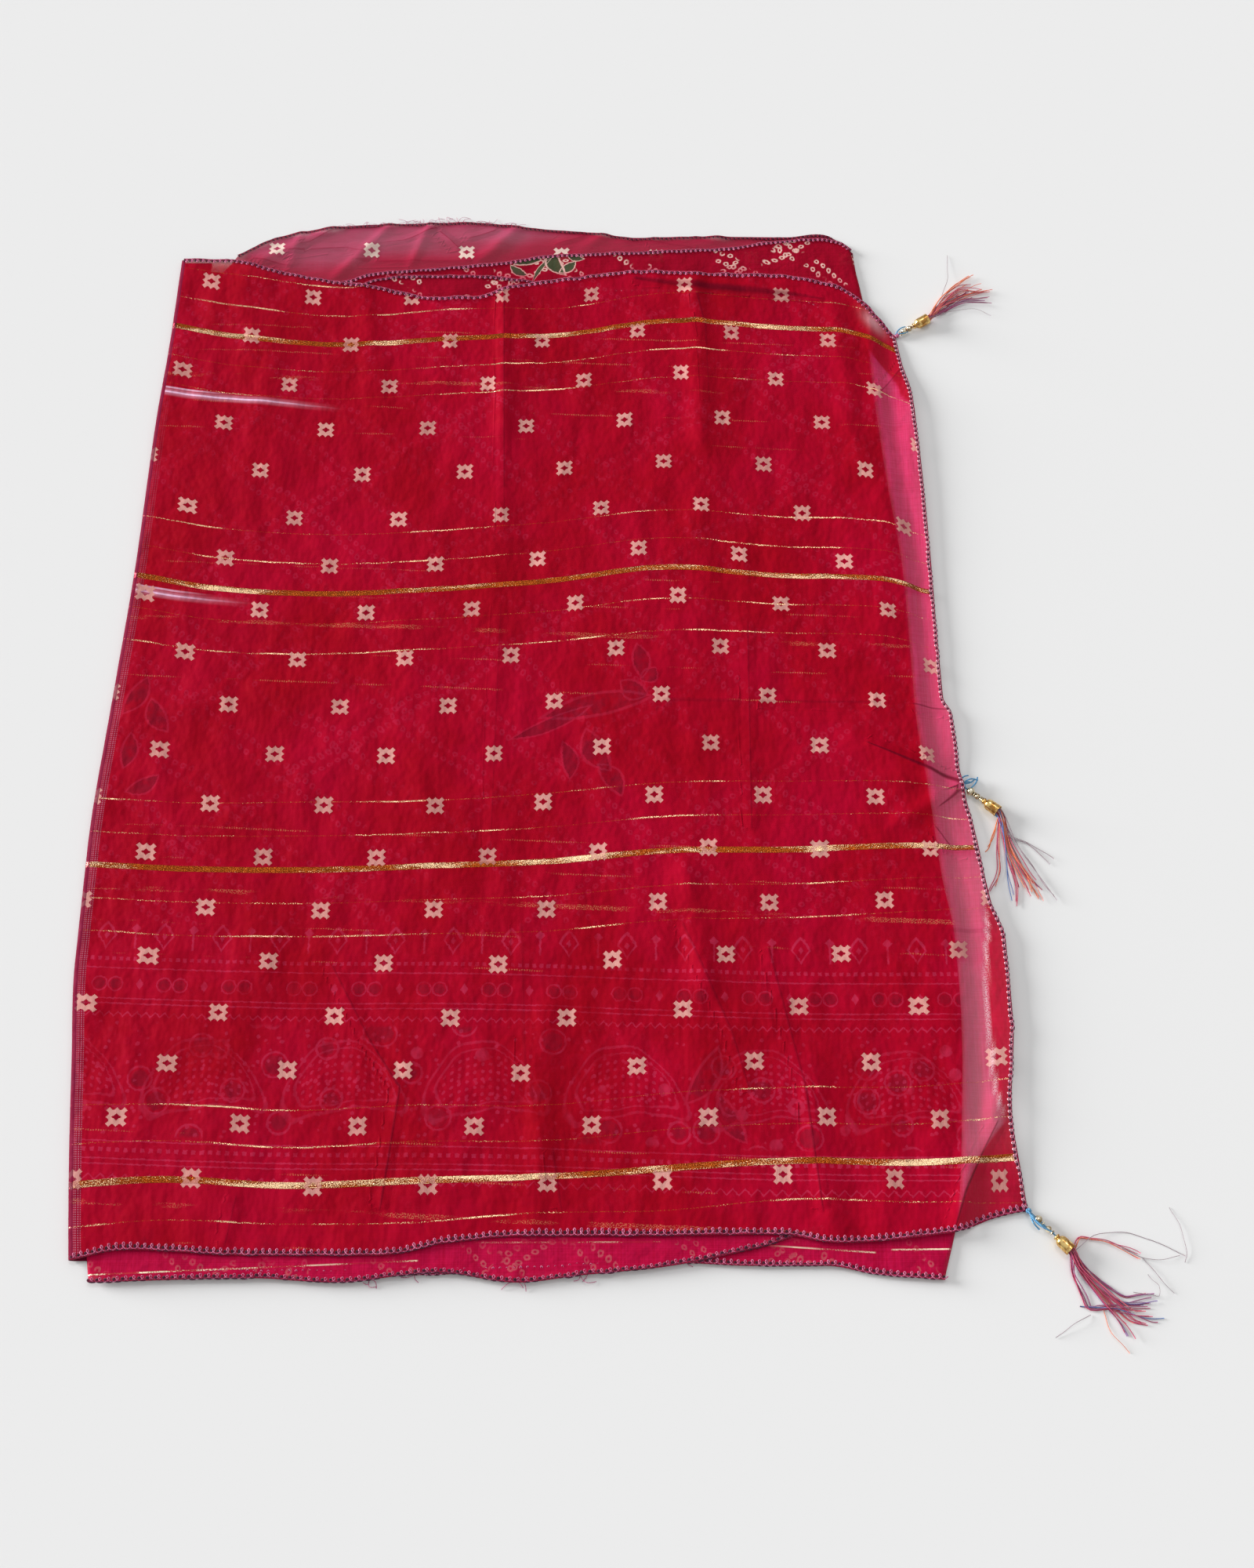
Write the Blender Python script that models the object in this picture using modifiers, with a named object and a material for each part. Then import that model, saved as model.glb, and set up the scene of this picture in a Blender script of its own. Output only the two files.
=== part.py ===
"""A tasselled wrap scarf of sheer printed cloth, folded in four and laid flat.

Metres, +Z up. +X runs to the tasselled end, +Y runs away from the near hem, and the
origin is at the bottom centre of the whole scarf's box, on the surface it lies on.
The four stretches of the folded cloth lie on each other, and each of the three tassels
is a knotted thread, two beads, a bell cap and a tuft of strands.
"""
import math

import bpy
import bmesh
import numpy as np
from mathutils import Vector

MM = 0.001
WALL = 1.0 * MM            # thickness of one stretch of cloth
CLEAR = 0.3 * MM           # space left between pieces that lie on each other

# Each edge of a stretch is a short table in millimetres, read off along its length.
# Side edges: (y, x), from the near hem to the far one. Hems: (x, y), from left to right.
TOP_LEFT_FOLD = ((-374, -400), (-315, -406), (-230, -413), (-147, -419), (-59, -419),
                 (76, -412), (201, -405), (332, -401), (420, -396), (503, -393))
TOP_TASSEL_END = ((-337, 289), (-311, 286), (-267, 282), (-195, 288), (-130, 287), (-99, 278),
                  (-40, 270), (10, 262), (62, 258), (78, 252), (222, 249), (360, 243),
                  (395, 236), (423, 232))
TOP_NEAR_HEM = ((-400, -374), (-359, -366), (-266, -370), (-178, -370), (-129, -361), (-69, -356),
                (6, -356), (111, -355), (150, -361), (232, -354), (267, -342), (289, -337))
TOP_FAR_HEM = ((-393, 503), (-345, 501), (-307, 490), (-255, 479), (-209, 471), (-166, 461),
               (-134, 461), (-98, 472), (-39, 484), (14, 491), (74, 487), (123, 487),
               (181, 477), (204, 460), (232, 423))
MID_FOLD = ((-387, 227), (-337, 240), (-267, 247), (-195, 251), (-133, 250), (-73, 243), (0, 237),
            (59, 231), (182, 228), (285, 218), (360, 212), (447, 208), (515, 198))
UNDER_LEFT_FOLD = ((-385, -384), (-315, -396), (-147, -411), (-59, -411), (76, -404), (201, -397),
                   (332, -393), (503, -384))

SECOND_NEAR_HEM = ((-384, -389), (-265, -386), (-210, -389), (-134, -382), (-79, -389),
                   (-34, -384), (26, -378), (91, -365), (140, -352), (240, -346))
SECOND_FAR_HEM = ((-384, 465), (-270, 466), (-241, 474), (-221, 482), (-192, 486), (-143, 486),
                  (-94, 482), (-60, 474), (60, 470), (150, 462), (208, 420))
INNER_NEAR_HEM = ((-384, -384), (-210, -384), (-34, -380), (40, -375), (91, -377), (143, -377),
                  (178, -383), (227, -387))
INNER_FAR_HEM = ((-384, 468), (-290, 470), (-241, 483), (-227, 489), (-166, 495), (-108, 501),
                 (-64, 509), (0, 512), (84, 516), (134, 524), (169, 527), (188, 523), (198, 515))
BACK_NEAR_HEM = ((-384, -382), (-210, -382), (-34, -378), (91, -373), (178, -379), (227, -383))
BACK_LEFT_FOLD = ((-385, -382), (-315, -394), (-147, -409), (-59, -409), (76, -402), (201, -396),
                  (400, -386), (470, -370), (510, -344))
BACK_FAR_HEM = ((-344, 510), (-311, 529), (-279, 537), (-235, 543), (-170, 545), (-145, 546),
                (-80, 539), (-35, 535), (8, 529), (60, 530), (142, 530), (170, 533), (186, 526),
                (200, 512))
BACK_MID_FOLD = ((-383, 225), (-337, 238), (-267, 245), (-195, 249), (-133, 248), (-73, 241),
                 (0, 235), (59, 229), (182, 226), (285, 216), (360, 210), (447, 206), (512, 200))

# Creases and soft folds of the top stretch, in millimetres, a row for each one:
# x and y at one end, x and y at the other end, height, half width
CREASES = (
    (-108, 474, -104, 330, 2.6, 9),         # press fold from the far hem
    (-104, 330, -112, 120, 1.1, 13),
    (-92, 470, -84, 380, 1.2, 9),
    (58, 480, 62, 318, 2.4, 9),             # press fold further along
    (66, 318, 60, 150, 0.9, 14),
    (46, -80, 60, -165, 2.2, 9),            # near the middle, low down
    (60, -165, 52, -300, 0.9, 13),
    (-59, -190, -66, -352, 1.8, 10),        # down to the near hem
    (138, -235, 146, -352, 2.2, 9),         # down to the near hem
    (262, -2, 178, 34, 2.4, 7),             # pucker from the middle tassel
    (262, -2, 214, -34, 2.0, 7),
    (262, -4, 196, 4, 1.5, 6),
    (272, -262, 238, -340, 2.6, 9),         # across the near corner
    (-330, 480, -300, 300, 1.2, 16),        # soft folds of the left half
    (-230, 476, -214, 352, 1.5, 12),
    (-282, -120, -300, -352, 1.1, 15),
    (-180, 150, -150, -60, 0.9, 17),
    (180, 440, 196, 300, 1.8, 10),          # along the middle fold
    (214, 250, 206, 120, 1.2, 10),
    (-388, 60, -250, 84, 1.0, 14),          # in from the left fold
    (-150, 462, -60, 474, 1.6, 12),         # along the far hem
)
SWELL = 0.7                # how far the cloth's slow waves lift it, in millimetres
FOLD_ROUND = 5.0           # how far in from the left fold the cloth takes to come level
SIDE_LEDGE, HEM_LEDGE, DROP = 1.0, 12.0, 15.0   # how far past an edge below it a stretch
                           # stays up, at a side and at a hem, and how far it takes to come down
RIM_ROUND, GROOVE, FOLD_GROOVE = 0.3, 1.8, 0.2  # rounding of a leaf's edge, and depth between leaves

# One row for each tassel, in millimetres and degrees: where its knot is, how high, and which
# way it points, the distance to the middle of its cap, the diameters of its beads and how far
# along the thread they sit, and its fan of strands: (place across the head from 0 to 1,
# angle to the tassel's heading, length of the strand there).
TASSELS = (
    dict(name="tassel_far", x=234.5, y=424.5, z=2.5, heading=30, cap_at=24,
         beads=((5.2, 7.0), (5.0, 12.6)),
         fan=((0.0, -9, 58), (0.5, 6, 66), (1.0, 17, 60))),
    dict(name="tassel_middle", x=264.2, y=-3.2, z=3.2, heading=-41, cap_at=27,
         beads=((7.0, 7.4), (4.8, 14.2)),
         fan=((0.0, -58, 66), (0.25, -36, 84), (0.8, -20, 86), (1.0, -2, 84))),
    dict(name="tassel_near", x=290.3, y=-338.4, z=3.0, heading=-46, cap_at=33,
         beads=((6.4, 9.0), (5.0, 18.6)), fan=((0.0, -22, 66), (0.3, -4, 74), (0.70, 12, 72),
                                               (0.76, 32, 86), (1.0, 46, 88))),
)
CAP_LENGTH, CAP_MOUTH, CAP_THROAT, CAP_WALL = 14.5, 4.8, 2.4, 0.6
HEAD_RADIUS, HEAD_LENGTH = CAP_MOUTH - CAP_WALL - 1.0, 5.0
KNOT_RADIUS, THREAD_RADIUS, BEAD_BORE = 2.2, 0.6, 1.0
STRAND_RADIUS, STRAND_STEPS = 0.28, 5
STRAND_ROWS = 5                # rows of strands above each other in a tassel's head
ROOT_GAP, ROOT_RISE = 0.85, 0.95   # between roots in a row, and between rows
REST_LOW, REST_RISE = 0.55, 0.72   # height of the lowest row on the surface, and of the next


def remove_everything():
    for thing in list(bpy.data.objects):
        bpy.data.objects.remove(thing, do_unlink=True)


def cloth_material(name, colour, roughness, metallic=0.0):
    material = bpy.data.materials.new(name)
    material.use_nodes = True
    shader = material.node_tree.nodes["Principled BSDF"]
    shader.inputs["Base Color"].default_value = (*colour, 1.0)
    shader.inputs["Roughness"].default_value = roughness
    shader.inputs["Metallic"].default_value = metallic
    return material


def read_edge(table, along):
    """A smooth curve through the table's rows: a cubic in each gap, with the slope at each
    row taken from its neighbours."""
    at, value = np.array(table, float).T
    slope = np.gradient(value, at)
    along = np.clip(along, at[0], at[-1])
    row = np.clip(np.searchsorted(at, along) - 1, 0, len(at) - 2)
    gap = at[row + 1] - at[row]
    t = (along - at[row]) / gap
    return ((1 + 2 * t) * (1 - t) ** 2 * value[row] + t * (1 - t) ** 2 * gap * slope[row]
            + t * t * (3 - 2 * t) * value[row + 1] + t * t * (t - 1) * gap * slope[row + 1])


def smooth_step(low, high, value):
    t = np.clip((value - low) / (high - low), 0.0, 1.0)
    return t * t * (3 - 2 * t)


class Stretch:
    """One stretch of the folded cloth, bounded by two side edges and two hems."""

    def __init__(self, left, right, near, far):
        self.left, self.right, self.near, self.far = left, right, near, far

    def place(self, u, v):
        """u runs from the left edge to the right, v from the near hem to the far one: x is
        shared out between the side edges, and y between the hems at that x."""
        low = (1 - u) * self.left[0][0] + u * self.right[0][0]
        high = (1 - u) * self.left[-1][0] + u * self.right[-1][0]
        level = (1 - v) * low + v * high
        x = (1 - u) * read_edge(self.left, level) + u * read_edge(self.right, level)
        y = (1 - v) * read_edge(self.near, x) + v * read_edge(self.far, x)
        return x, y

    def support(self, x, y):
        """1 over this stretch, falling to 0 past its tassel side and past its far hem."""
        past_side = x - read_edge(self.right, y) - SIDE_LEDGE
        past_hem = y - read_edge(self.far, x) - HEM_LEDGE
        return 1.0 - smooth_step(0.0, DROP, np.maximum(past_side, past_hem))


TOP = Stretch(TOP_LEFT_FOLD, TOP_TASSEL_END, TOP_NEAR_HEM, TOP_FAR_HEM)
SECOND = Stretch(UNDER_LEFT_FOLD, MID_FOLD, SECOND_NEAR_HEM, SECOND_FAR_HEM)
INNER = Stretch(UNDER_LEFT_FOLD, MID_FOLD, INNER_NEAR_HEM, INNER_FAR_HEM)
BACK = Stretch(BACK_LEFT_FOLD, BACK_MID_FOLD, BACK_NEAR_HEM, BACK_FAR_HEM)


def crease_height(x, y):
    """The sum of the creases, each a bell-shaped ridge that fades out towards its ends."""
    height = np.zeros_like(x)
    for x0, y0, x1, y1, rise, half_width in CREASES:
        length = math.hypot(x1 - x0, y1 - y0)
        ax, ay = (x1 - x0) / length, (y1 - y0) / length
        along = (x - x0) * ax + (y - y0) * ay
        across = (y - y0) * ax - (x - x0) * ay
        past = np.maximum(np.maximum(-along, along - length), 0.0)
        height += rise * np.exp(-(across / half_width) ** 2 - (past / (1.5 * half_width)) ** 2)
    return height


def slow_waves(x, y):
    """Low swells between 0 and twice SWELL, from two crossing trains of sine waves."""
    lengthwise = np.sin(x / 31.0 + 0.7 * np.sin(y / 90.0))
    crosswise = np.sin(y / 47.0 + 0.6 * np.sin(x / 70.0) + 1.0)
    return SWELL * (1.0 + 0.6 * lengthwise + 0.4 * crosswise)


def top_underside(x, y):
    """Height of the underside of the top stretch: the thicknesses of what lies under it,
    plus its own waves and creases, turned down to the surface at the left fold."""
    leaf = (WALL + CLEAR) / MM
    pile = leaf * BACK.support(x, y) + (2 * leaf - CLEAR / MM) * INNER.support(x, y)
    pile = pile + leaf * SECOND.support(x, y)
    height = pile + slow_waves(x, y) + crease_height(x, y)
    from_fold = np.clip((x - read_edge(TOP_LEFT_FOLD, y)) / FOLD_ROUND, 0.0, 1.0)
    return height * np.sqrt(1.0 - (1.0 - from_fold) ** 2)


def top_columns():
    """Where the grid's columns lie, 0 at the left fold and 1 at the tasselled end: close
    together round the fold and over the strip past the middle fold."""
    round_fold = np.array([0.0, 0.0012, 0.0035, 0.0075])
    field = np.linspace(0.0140, 0.928, 42)
    strip = np.linspace(0.937, 1.0, 8)
    return np.concatenate([round_fold, field, strip])


def top_panel(material):
    """The stretch that shows: a grid over its outline, lifted by top_underside, and given
    the cloth's wall by Solidify."""
    columns = top_columns()
    rows = np.linspace(0.0, 1.0, 35)
    mesh = bpy.data.meshes.new("top_panel")
    grid = bmesh.new()
    bmesh.ops.create_grid(grid, x_segments=len(columns) - 1, y_segments=len(rows) - 1, size=0.5)
    grid.to_mesh(mesh)
    grid.free()
    corner = np.empty(len(mesh.vertices) * 3)
    mesh.vertices.foreach_get("co", corner)
    corner = corner.reshape(-1, 3)
    u = columns[np.rint((corner[:, 0] + 0.5) * (len(columns) - 1)).astype(int)]
    v = rows[np.rint((corner[:, 1] + 0.5) * (len(rows) - 1)).astype(int)]
    x, y = TOP.place(u, v)
    corner = np.stack([x, y, top_underside(x, y)], axis=1) * MM
    mesh.vertices.foreach_set("co", corner.ravel())
    piece = add_piece(mesh, material)
    wall = piece.modifiers.new("wall", "SOLIDIFY")
    wall.thickness = WALL
    wall.offset = 1.0
    wall.use_even_offset = True
    return piece


def add_piece(mesh, material):
    mesh.update()
    mesh.materials.append(material)
    mesh.shade_smooth()
    mesh.set_sharp_from_angle(angle=math.radians(40))
    piece = bpy.data.objects.new(mesh.name, mesh)
    bpy.data.collections["wrap_scarf"].objects.link(piece)
    return piece


def outline(stretch, across, along):
    """The closed outline of a stretch, anticlockwise, with how much each point is on a fold:
    1 on the side edges and 0 on the hems."""
    u = np.concatenate([np.arange(across) / across, np.ones(along),
                        1 - np.arange(across) / across, np.zeros(along)])
    v = np.concatenate([np.zeros(across), np.arange(along) / along,
                        np.ones(across), 1 - np.arange(along) / along])
    on_fold = np.concatenate([np.zeros(across), np.ones(along)] * 2)
    x, y = stretch.place(u, v)
    return np.stack([x, y], axis=1), on_fold


def under_stretch(name, stretch, floor, leaves, material):
    """A stretch that mostly lies hidden: a flat solid whose rim is a rounded edge for each
    leaf of cloth, with a groove between two leaves along the hems and none at the folds."""
    points, on_fold = outline(stretch, across=18, along=22)
    ahead = np.roll(points, -1, axis=0) - np.roll(points, 1, axis=0)
    inward = np.stack([-ahead[:, 1], ahead[:, 0]], axis=1)
    inward /= np.linalg.norm(inward, axis=1)[:, None]
    thick = WALL / MM
    rim = [(RIM_ROUND, 0.0)]
    for leaf in range(leaves):
        base = leaf * thick
        if leaf > 0:
            rim += [(RIM_ROUND, base - 0.05), (GROOVE, base), (RIM_ROUND, base + 0.05)]
        rim += [(0.0, base + RIM_ROUND), (0.0, base + thick - RIM_ROUND)]
    rim.append((RIM_ROUND, leaves * thick))
    form = bmesh.new()
    loops = []
    for inset, height in rim:
        depth = inset + (FOLD_GROOVE - inset) * on_fold * (inset == GROOVE)
        ring = points + inward * depth[:, None]
        loops.append([form.verts.new((x * MM, y * MM, floor + height * MM)) for x, y in ring])
    for lower, upper in zip(loops, loops[1:]):
        for i in range(len(lower)):
            j = (i + 1) % len(lower)
            form.faces.new((lower[i], lower[j], upper[j], upper[i]))
    form.faces.new(loops[0][::-1])
    form.faces.new(loops[-1])
    mesh = bpy.data.meshes.new(name)
    form.to_mesh(mesh)
    form.free()
    return add_piece(mesh, material)


def axis_tilt(row):
    """How far the tassel's axis rises from its knot, so that the cap's rim lies on the
    surface."""
    return math.atan2(CAP_MOUTH + 0.1 - row["z"], row["cap_at"] + CAP_LENGTH / 2)


def turned(name, profile, sides, closed, material, parent, row):
    """A profile of (radius, distance along the axis) turned round the local Z axis, then
    laid on its tassel's axis, which points a little upwards."""
    mesh = bpy.data.meshes.new(name)
    points = [(radius * MM, 0.0, along * MM) for radius, along in profile]
    edges = [(i, i + 1) for i in range(len(points) - 1)]
    if closed:
        edges.append((len(points) - 1, 0))
    mesh.from_pydata(points, edges, [])
    piece = add_piece(mesh, material)
    screw = piece.modifiers.new("turned", "SCREW")
    screw.steps = sides
    screw.render_steps = sides
    screw.use_merge_vertices = True
    screw.merge_threshold = 0.00001
    piece.parent = parent
    piece.location = (0.0, 0.0, row["z"] * MM)
    piece.rotation_euler = (0.0, math.pi / 2 - axis_tilt(row), 0.0)
    return piece


def bead_profile(radius, middle):
    """Half a round bead, from its far end back to its near one, closed along its bore."""
    reach = math.asin(BEAD_BORE / radius)
    turn = np.linspace(reach, math.pi - reach, 7)
    return [(radius * math.sin(a), middle + radius * math.cos(a)) for a in turn]


def cap_profile(start):
    """Section of the bell cap, outside from the mouth to the throat and back inside."""
    end = start + CAP_LENGTH
    outer = [(CAP_MOUTH, end), (CAP_MOUTH - 0.5, end - 1.2), (CAP_MOUTH - 0.2, end - 5.0),
             (CAP_MOUTH - 0.7, end - 9.5), (CAP_THROAT + 0.5, start + 2.2), (CAP_THROAT, start)]
    inner = [(BEAD_BORE, start), (BEAD_BORE + 0.3, start + 2.2),
             (CAP_MOUTH - 0.7 - CAP_WALL, start + 5.4), (CAP_MOUTH - 0.5 - CAP_WALL, end - 1.2),
             (CAP_MOUTH - CAP_WALL, end)]
    return outer + inner


def thread_profile(end):
    """The knot at the hem and the thread that runs on from it, closed on the axis."""
    turn = np.linspace(math.pi * 0.10, math.pi, 6)
    knot = [(KNOT_RADIUS * math.sin(a), -KNOT_RADIUS * math.cos(a)) for a in turn]
    tail = [(0.0, end), (THREAD_RADIUS, end)]
    shank = [(radius, -along) for radius, along in knot[:-1]]
    return tail + shank + [(0.0, -KNOT_RADIUS)]


def side_room(tier):
    """How far to the side the roots of a row may reach inside the head."""
    reach = HEAD_RADIUS - STRAND_RADIUS - 0.15
    off_middle = (tier - (STRAND_ROWS - 1) / 2) * ROOT_RISE
    return math.sqrt(reach ** 2 - off_middle ** 2)


def strand_paths(tier, fan, start, level):
    """Centre lines of one row of strands, as an array (strand, step, 3) in the tassel's
    frame: each leaves the head, at that level, turns by its own angle and sinks to the
    surface. Strands keep their order from side to side, and rows keep theirs in height."""
    room = side_room(tier)
    count = int(2 * room / ROOT_GAP) + 1
    across = np.linspace(0.0, 1.0, count)
    at, angle, length = np.array(fan, float).T
    turn = np.radians(np.interp(across, at, angle))
    reach = np.interp(across, at, length) * (0.92 + 0.08 * np.cos(7.0 * across * count + 1.9 * tier))
    t = np.linspace(0.0, 1.0, STRAND_STEPS + 1)
    heading = turn[:, None] * smooth_step(0.15, 0.65, t)[None, :]
    step = (reach / STRAND_STEPS)[:, None]
    along = start + np.cumsum(np.cos(heading) * step, axis=1) - step
    side = ((2 * across - 1) * room)[:, None] + np.cumsum(np.sin(heading) * step, axis=1)
    root_high = level + (tier - (STRAND_ROWS - 1) / 2) * ROOT_RISE
    rest_high = REST_LOW + REST_RISE * tier
    sink = smooth_step(0.0, 0.55, t)[None, :]
    high = np.broadcast_to(root_high * (1 - sink) + rest_high * sink, along.shape)
    return np.stack([along, side, high], axis=2)


def strand_tube(form, path):
    """A three-sided tube along the path, closed at both ends."""
    loops = []
    for i, middle in enumerate(path):
        before = path[max(i - 1, 0)]
        after = path[min(i + 1, len(path) - 1)]
        ahead = (after - before).normalized()
        side = ahead.cross(Vector((0, 0, 1))).normalized()
        up = side.cross(ahead)
        ring = []
        for corner in range(3):
            angle = math.pi / 2 + corner * 2 * math.pi / 3
            offset = side * math.cos(angle) + up * math.sin(angle)
            ring.append(form.verts.new(middle + offset * STRAND_RADIUS * MM))
        loops.append(ring)
    for near, far in zip(loops, loops[1:]):
        for i in range(3):
            j = (i + 1) % 3
            form.faces.new((near[i], near[j], far[j], far[i]))
    form.faces.new(loops[0][::-1])
    form.faces.new(loops[-1])


def tuft(name, row, head, material, parent):
    """The strands of one tassel, their roots fused into a round head inside the cap, whose
    middle is given in the tassel's frame."""
    strands = bmesh.new()
    for tier in range(STRAND_ROWS):
        for path in strand_paths(tier, row["fan"], head.x, head.z):
            strand_tube(strands, [Vector(point) * MM for point in path])
    bmesh.ops.recalc_face_normals(strands, faces=strands.faces)
    mesh = bpy.data.meshes.new(name)
    strands.to_mesh(mesh)
    strands.free()
    piece = add_piece(mesh, material)
    piece.parent = parent

    plug = bmesh.new()
    bmesh.ops.create_cone(plug, cap_ends=True, segments=14, radius1=HEAD_RADIUS * MM,
                          radius2=HEAD_RADIUS * MM, depth=HEAD_LENGTH * MM)
    plug_mesh = bpy.data.meshes.new(name + "_head")
    plug.to_mesh(plug_mesh)
    plug.free()
    cutter = bpy.data.objects.new(name + "_head", plug_mesh)
    bpy.data.collections["guides"].objects.link(cutter)
    cutter.parent = parent
    cutter.location = head * MM
    cutter.rotation_euler = (0.0, math.pi / 2 - axis_tilt(row), 0.0)
    cutter.hide_render = True
    cutter.display_type = "WIRE"
    fused = piece.modifiers.new("head", "BOOLEAN")
    fused.operation = "UNION"
    fused.object = cutter
    return piece


def tassel(row, materials):
    """Knot and thread, two beads, bell cap and strands, on an empty at the knot that is
    turned to the tassel's heading."""
    parent = bpy.data.objects.new(row["name"], None)
    bpy.data.collections["wrap_scarf"].objects.link(parent)
    parent.location = (row["x"] * MM, row["y"] * MM, 0.0)
    parent.rotation_euler = (0.0, 0.0, math.radians(row["heading"]))
    cap_start = row["cap_at"] - CAP_LENGTH / 2
    head_middle = cap_start + CAP_LENGTH - HEAD_LENGTH / 2 - 1.6
    name = row["name"]
    thread_end = head_middle - HEAD_LENGTH / 2 - 0.4
    pieces = [turned(name + "_thread", thread_profile(thread_end), 8, False,
                     materials["thread"], parent, row)]
    for number, (diameter, middle) in enumerate(row["beads"], start=1):
        pieces.append(turned(f"{name}_bead_{number}", bead_profile(diameter / 2, middle), 12, True,
                             materials["gold"], parent, row))
    pieces.append(turned(name + "_cap", cap_profile(cap_start), 14, True, materials["gold"], parent,
                         row))
    head = Vector((head_middle * math.cos(axis_tilt(row)), 0.0,
                   row["z"] + head_middle * math.sin(axis_tilt(row))))
    pieces.append(tuft(name + "_strands", row, head, materials["strands"], parent))
    return pieces


def centre_on_box(pieces):
    """Moves the scarf so that the origin is at the bottom centre of its box."""
    bpy.context.view_layer.update()
    graph = bpy.context.evaluated_depsgraph_get()
    corners = []
    for piece in pieces:
        seen = piece.evaluated_get(graph)
        corners += [seen.matrix_world @ Vector(corner) for corner in seen.bound_box]
    middle_x = (min(c.x for c in corners) + max(c.x for c in corners)) / 2
    middle_y = (min(c.y for c in corners) + max(c.y for c in corners)) / 2
    for thing in bpy.data.objects:
        if thing.parent is None:
            thing.location -= Vector((middle_x, middle_y, 0.0))
    print("scarf centred from", round(middle_x, 5), round(middle_y, 5))


def main():
    remove_everything()
    for name in ("wrap_scarf", "guides"):
        bpy.context.scene.collection.children.link(bpy.data.collections.new(name))
    materials = {
        "crimson": cloth_material("crimson_cloth", (0.35, 0.003, 0.022), 0.55),
        "printed": cloth_material("printed_cloth", (0.30, 0.003, 0.018), 0.6),
        "sheer": cloth_material("sheer_cloth", (0.42, 0.09, 0.15), 0.5),
        "gold": cloth_material("gold_metal", (0.80, 0.52, 0.20), 0.25, 1.0),
        "thread": cloth_material("tie_thread", (0.10, 0.25, 0.45), 0.7),
        "strands": cloth_material("tassel_strands", (0.62, 0.16, 0.18), 0.6),
    }
    pieces = [
        under_stretch("back_layer", BACK, 0.0, 1, materials["sheer"]),
        under_stretch("inner_fold", INNER, WALL + CLEAR, 2, materials["printed"]),
        under_stretch("second_layer", SECOND, 3 * WALL + 2 * CLEAR, 1, materials["printed"]),
        top_panel(materials["crimson"]),
    ]
    for row in TASSELS:
        pieces += tassel(row, materials)
    centre_on_box(pieces)


main()
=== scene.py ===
# %% [markdown]
# # A wrap scarf, folded in four and laid flat
# The real scarf is one sheer crimson cloth, about 0.85 m wide and 2.5 m long, overlocked all
# round and with three tassels on its end hem. It is folded in half and in half again, so four
# stretches of it lie on each other. Each cell below makes one piece or one finish.

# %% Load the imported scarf
import math

import bmesh
import bpy
import numpy as np
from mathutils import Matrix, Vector


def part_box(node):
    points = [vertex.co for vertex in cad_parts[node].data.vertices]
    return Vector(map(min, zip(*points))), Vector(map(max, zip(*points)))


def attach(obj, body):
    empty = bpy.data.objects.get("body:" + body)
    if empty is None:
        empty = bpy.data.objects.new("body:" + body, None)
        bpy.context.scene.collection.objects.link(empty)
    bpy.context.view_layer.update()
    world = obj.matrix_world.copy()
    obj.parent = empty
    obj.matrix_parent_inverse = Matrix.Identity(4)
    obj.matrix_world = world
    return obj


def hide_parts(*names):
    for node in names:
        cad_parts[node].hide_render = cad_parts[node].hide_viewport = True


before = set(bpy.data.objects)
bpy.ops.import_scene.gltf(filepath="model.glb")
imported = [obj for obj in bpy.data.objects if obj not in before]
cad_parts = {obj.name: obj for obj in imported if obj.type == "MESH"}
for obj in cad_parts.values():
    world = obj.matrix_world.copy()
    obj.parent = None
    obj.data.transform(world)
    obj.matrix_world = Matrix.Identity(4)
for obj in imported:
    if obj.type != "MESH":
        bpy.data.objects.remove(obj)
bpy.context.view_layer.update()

# %% [markdown]
# ## The outline of each stretch
# A folded cloth is laid by hand, so its hems and folds wander. Each of them could be a Bezier
# curve. Here it is a short table in millimetres with a smooth curve read through it, because
# the same curve is then there for the cloth, for its hem and for what is sewn to it.

# %% Tables of the hems and folds
MM = 0.001
# Side edges: (y, x), from the near hem to the far one. Hems: (x, y), from left to right.
TOP_LEFT_FOLD = ((-374, -400), (-315, -406), (-230, -413), (-147, -419), (-59, -419),
                 (76, -412), (201, -405), (332, -401), (420, -396), (503, -393))
TOP_TASSEL_END = ((-337, 289), (-311, 286), (-267, 282), (-195, 288), (-130, 287), (-99, 278),
                  (-40, 270), (10, 262), (62, 258), (78, 252), (222, 249), (360, 243),
                  (395, 236), (423, 232))
TOP_NEAR_HEM = ((-400, -374), (-359, -366), (-266, -370), (-178, -370), (-129, -361), (-69, -356),
                (6, -356), (111, -355), (150, -361), (232, -354), (267, -342), (289, -337))
TOP_FAR_HEM = ((-393, 503), (-345, 501), (-307, 490), (-255, 479), (-209, 471), (-166, 461),
               (-134, 461), (-98, 472), (-39, 484), (14, 491), (74, 487), (123, 487),
               (181, 477), (204, 460), (232, 423))
MID_FOLD = ((-387, 227), (-337, 240), (-267, 247), (-195, 251), (-133, 250), (-73, 243), (0, 237),
            (59, 231), (182, 228), (285, 218), (360, 212), (447, 208), (515, 198))
UNDER_LEFT_FOLD = ((-385, -384), (-315, -396), (-147, -411), (-59, -411), (76, -404), (201, -397),
                   (332, -393), (503, -384))
SECOND_NEAR_HEM = ((-384, -389), (-265, -386), (-210, -389), (-134, -382), (-79, -389),
                   (-34, -384), (26, -378), (91, -365), (140, -352), (240, -346))
SECOND_FAR_HEM = ((-384, 488), (-345, 486), (-307, 478), (-270, 473), (-241, 474), (-221, 482),
                  (-192, 486), (-143, 486), (-94, 482), (-60, 474), (60, 470), (150, 462),
                   (208, 420))
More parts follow.
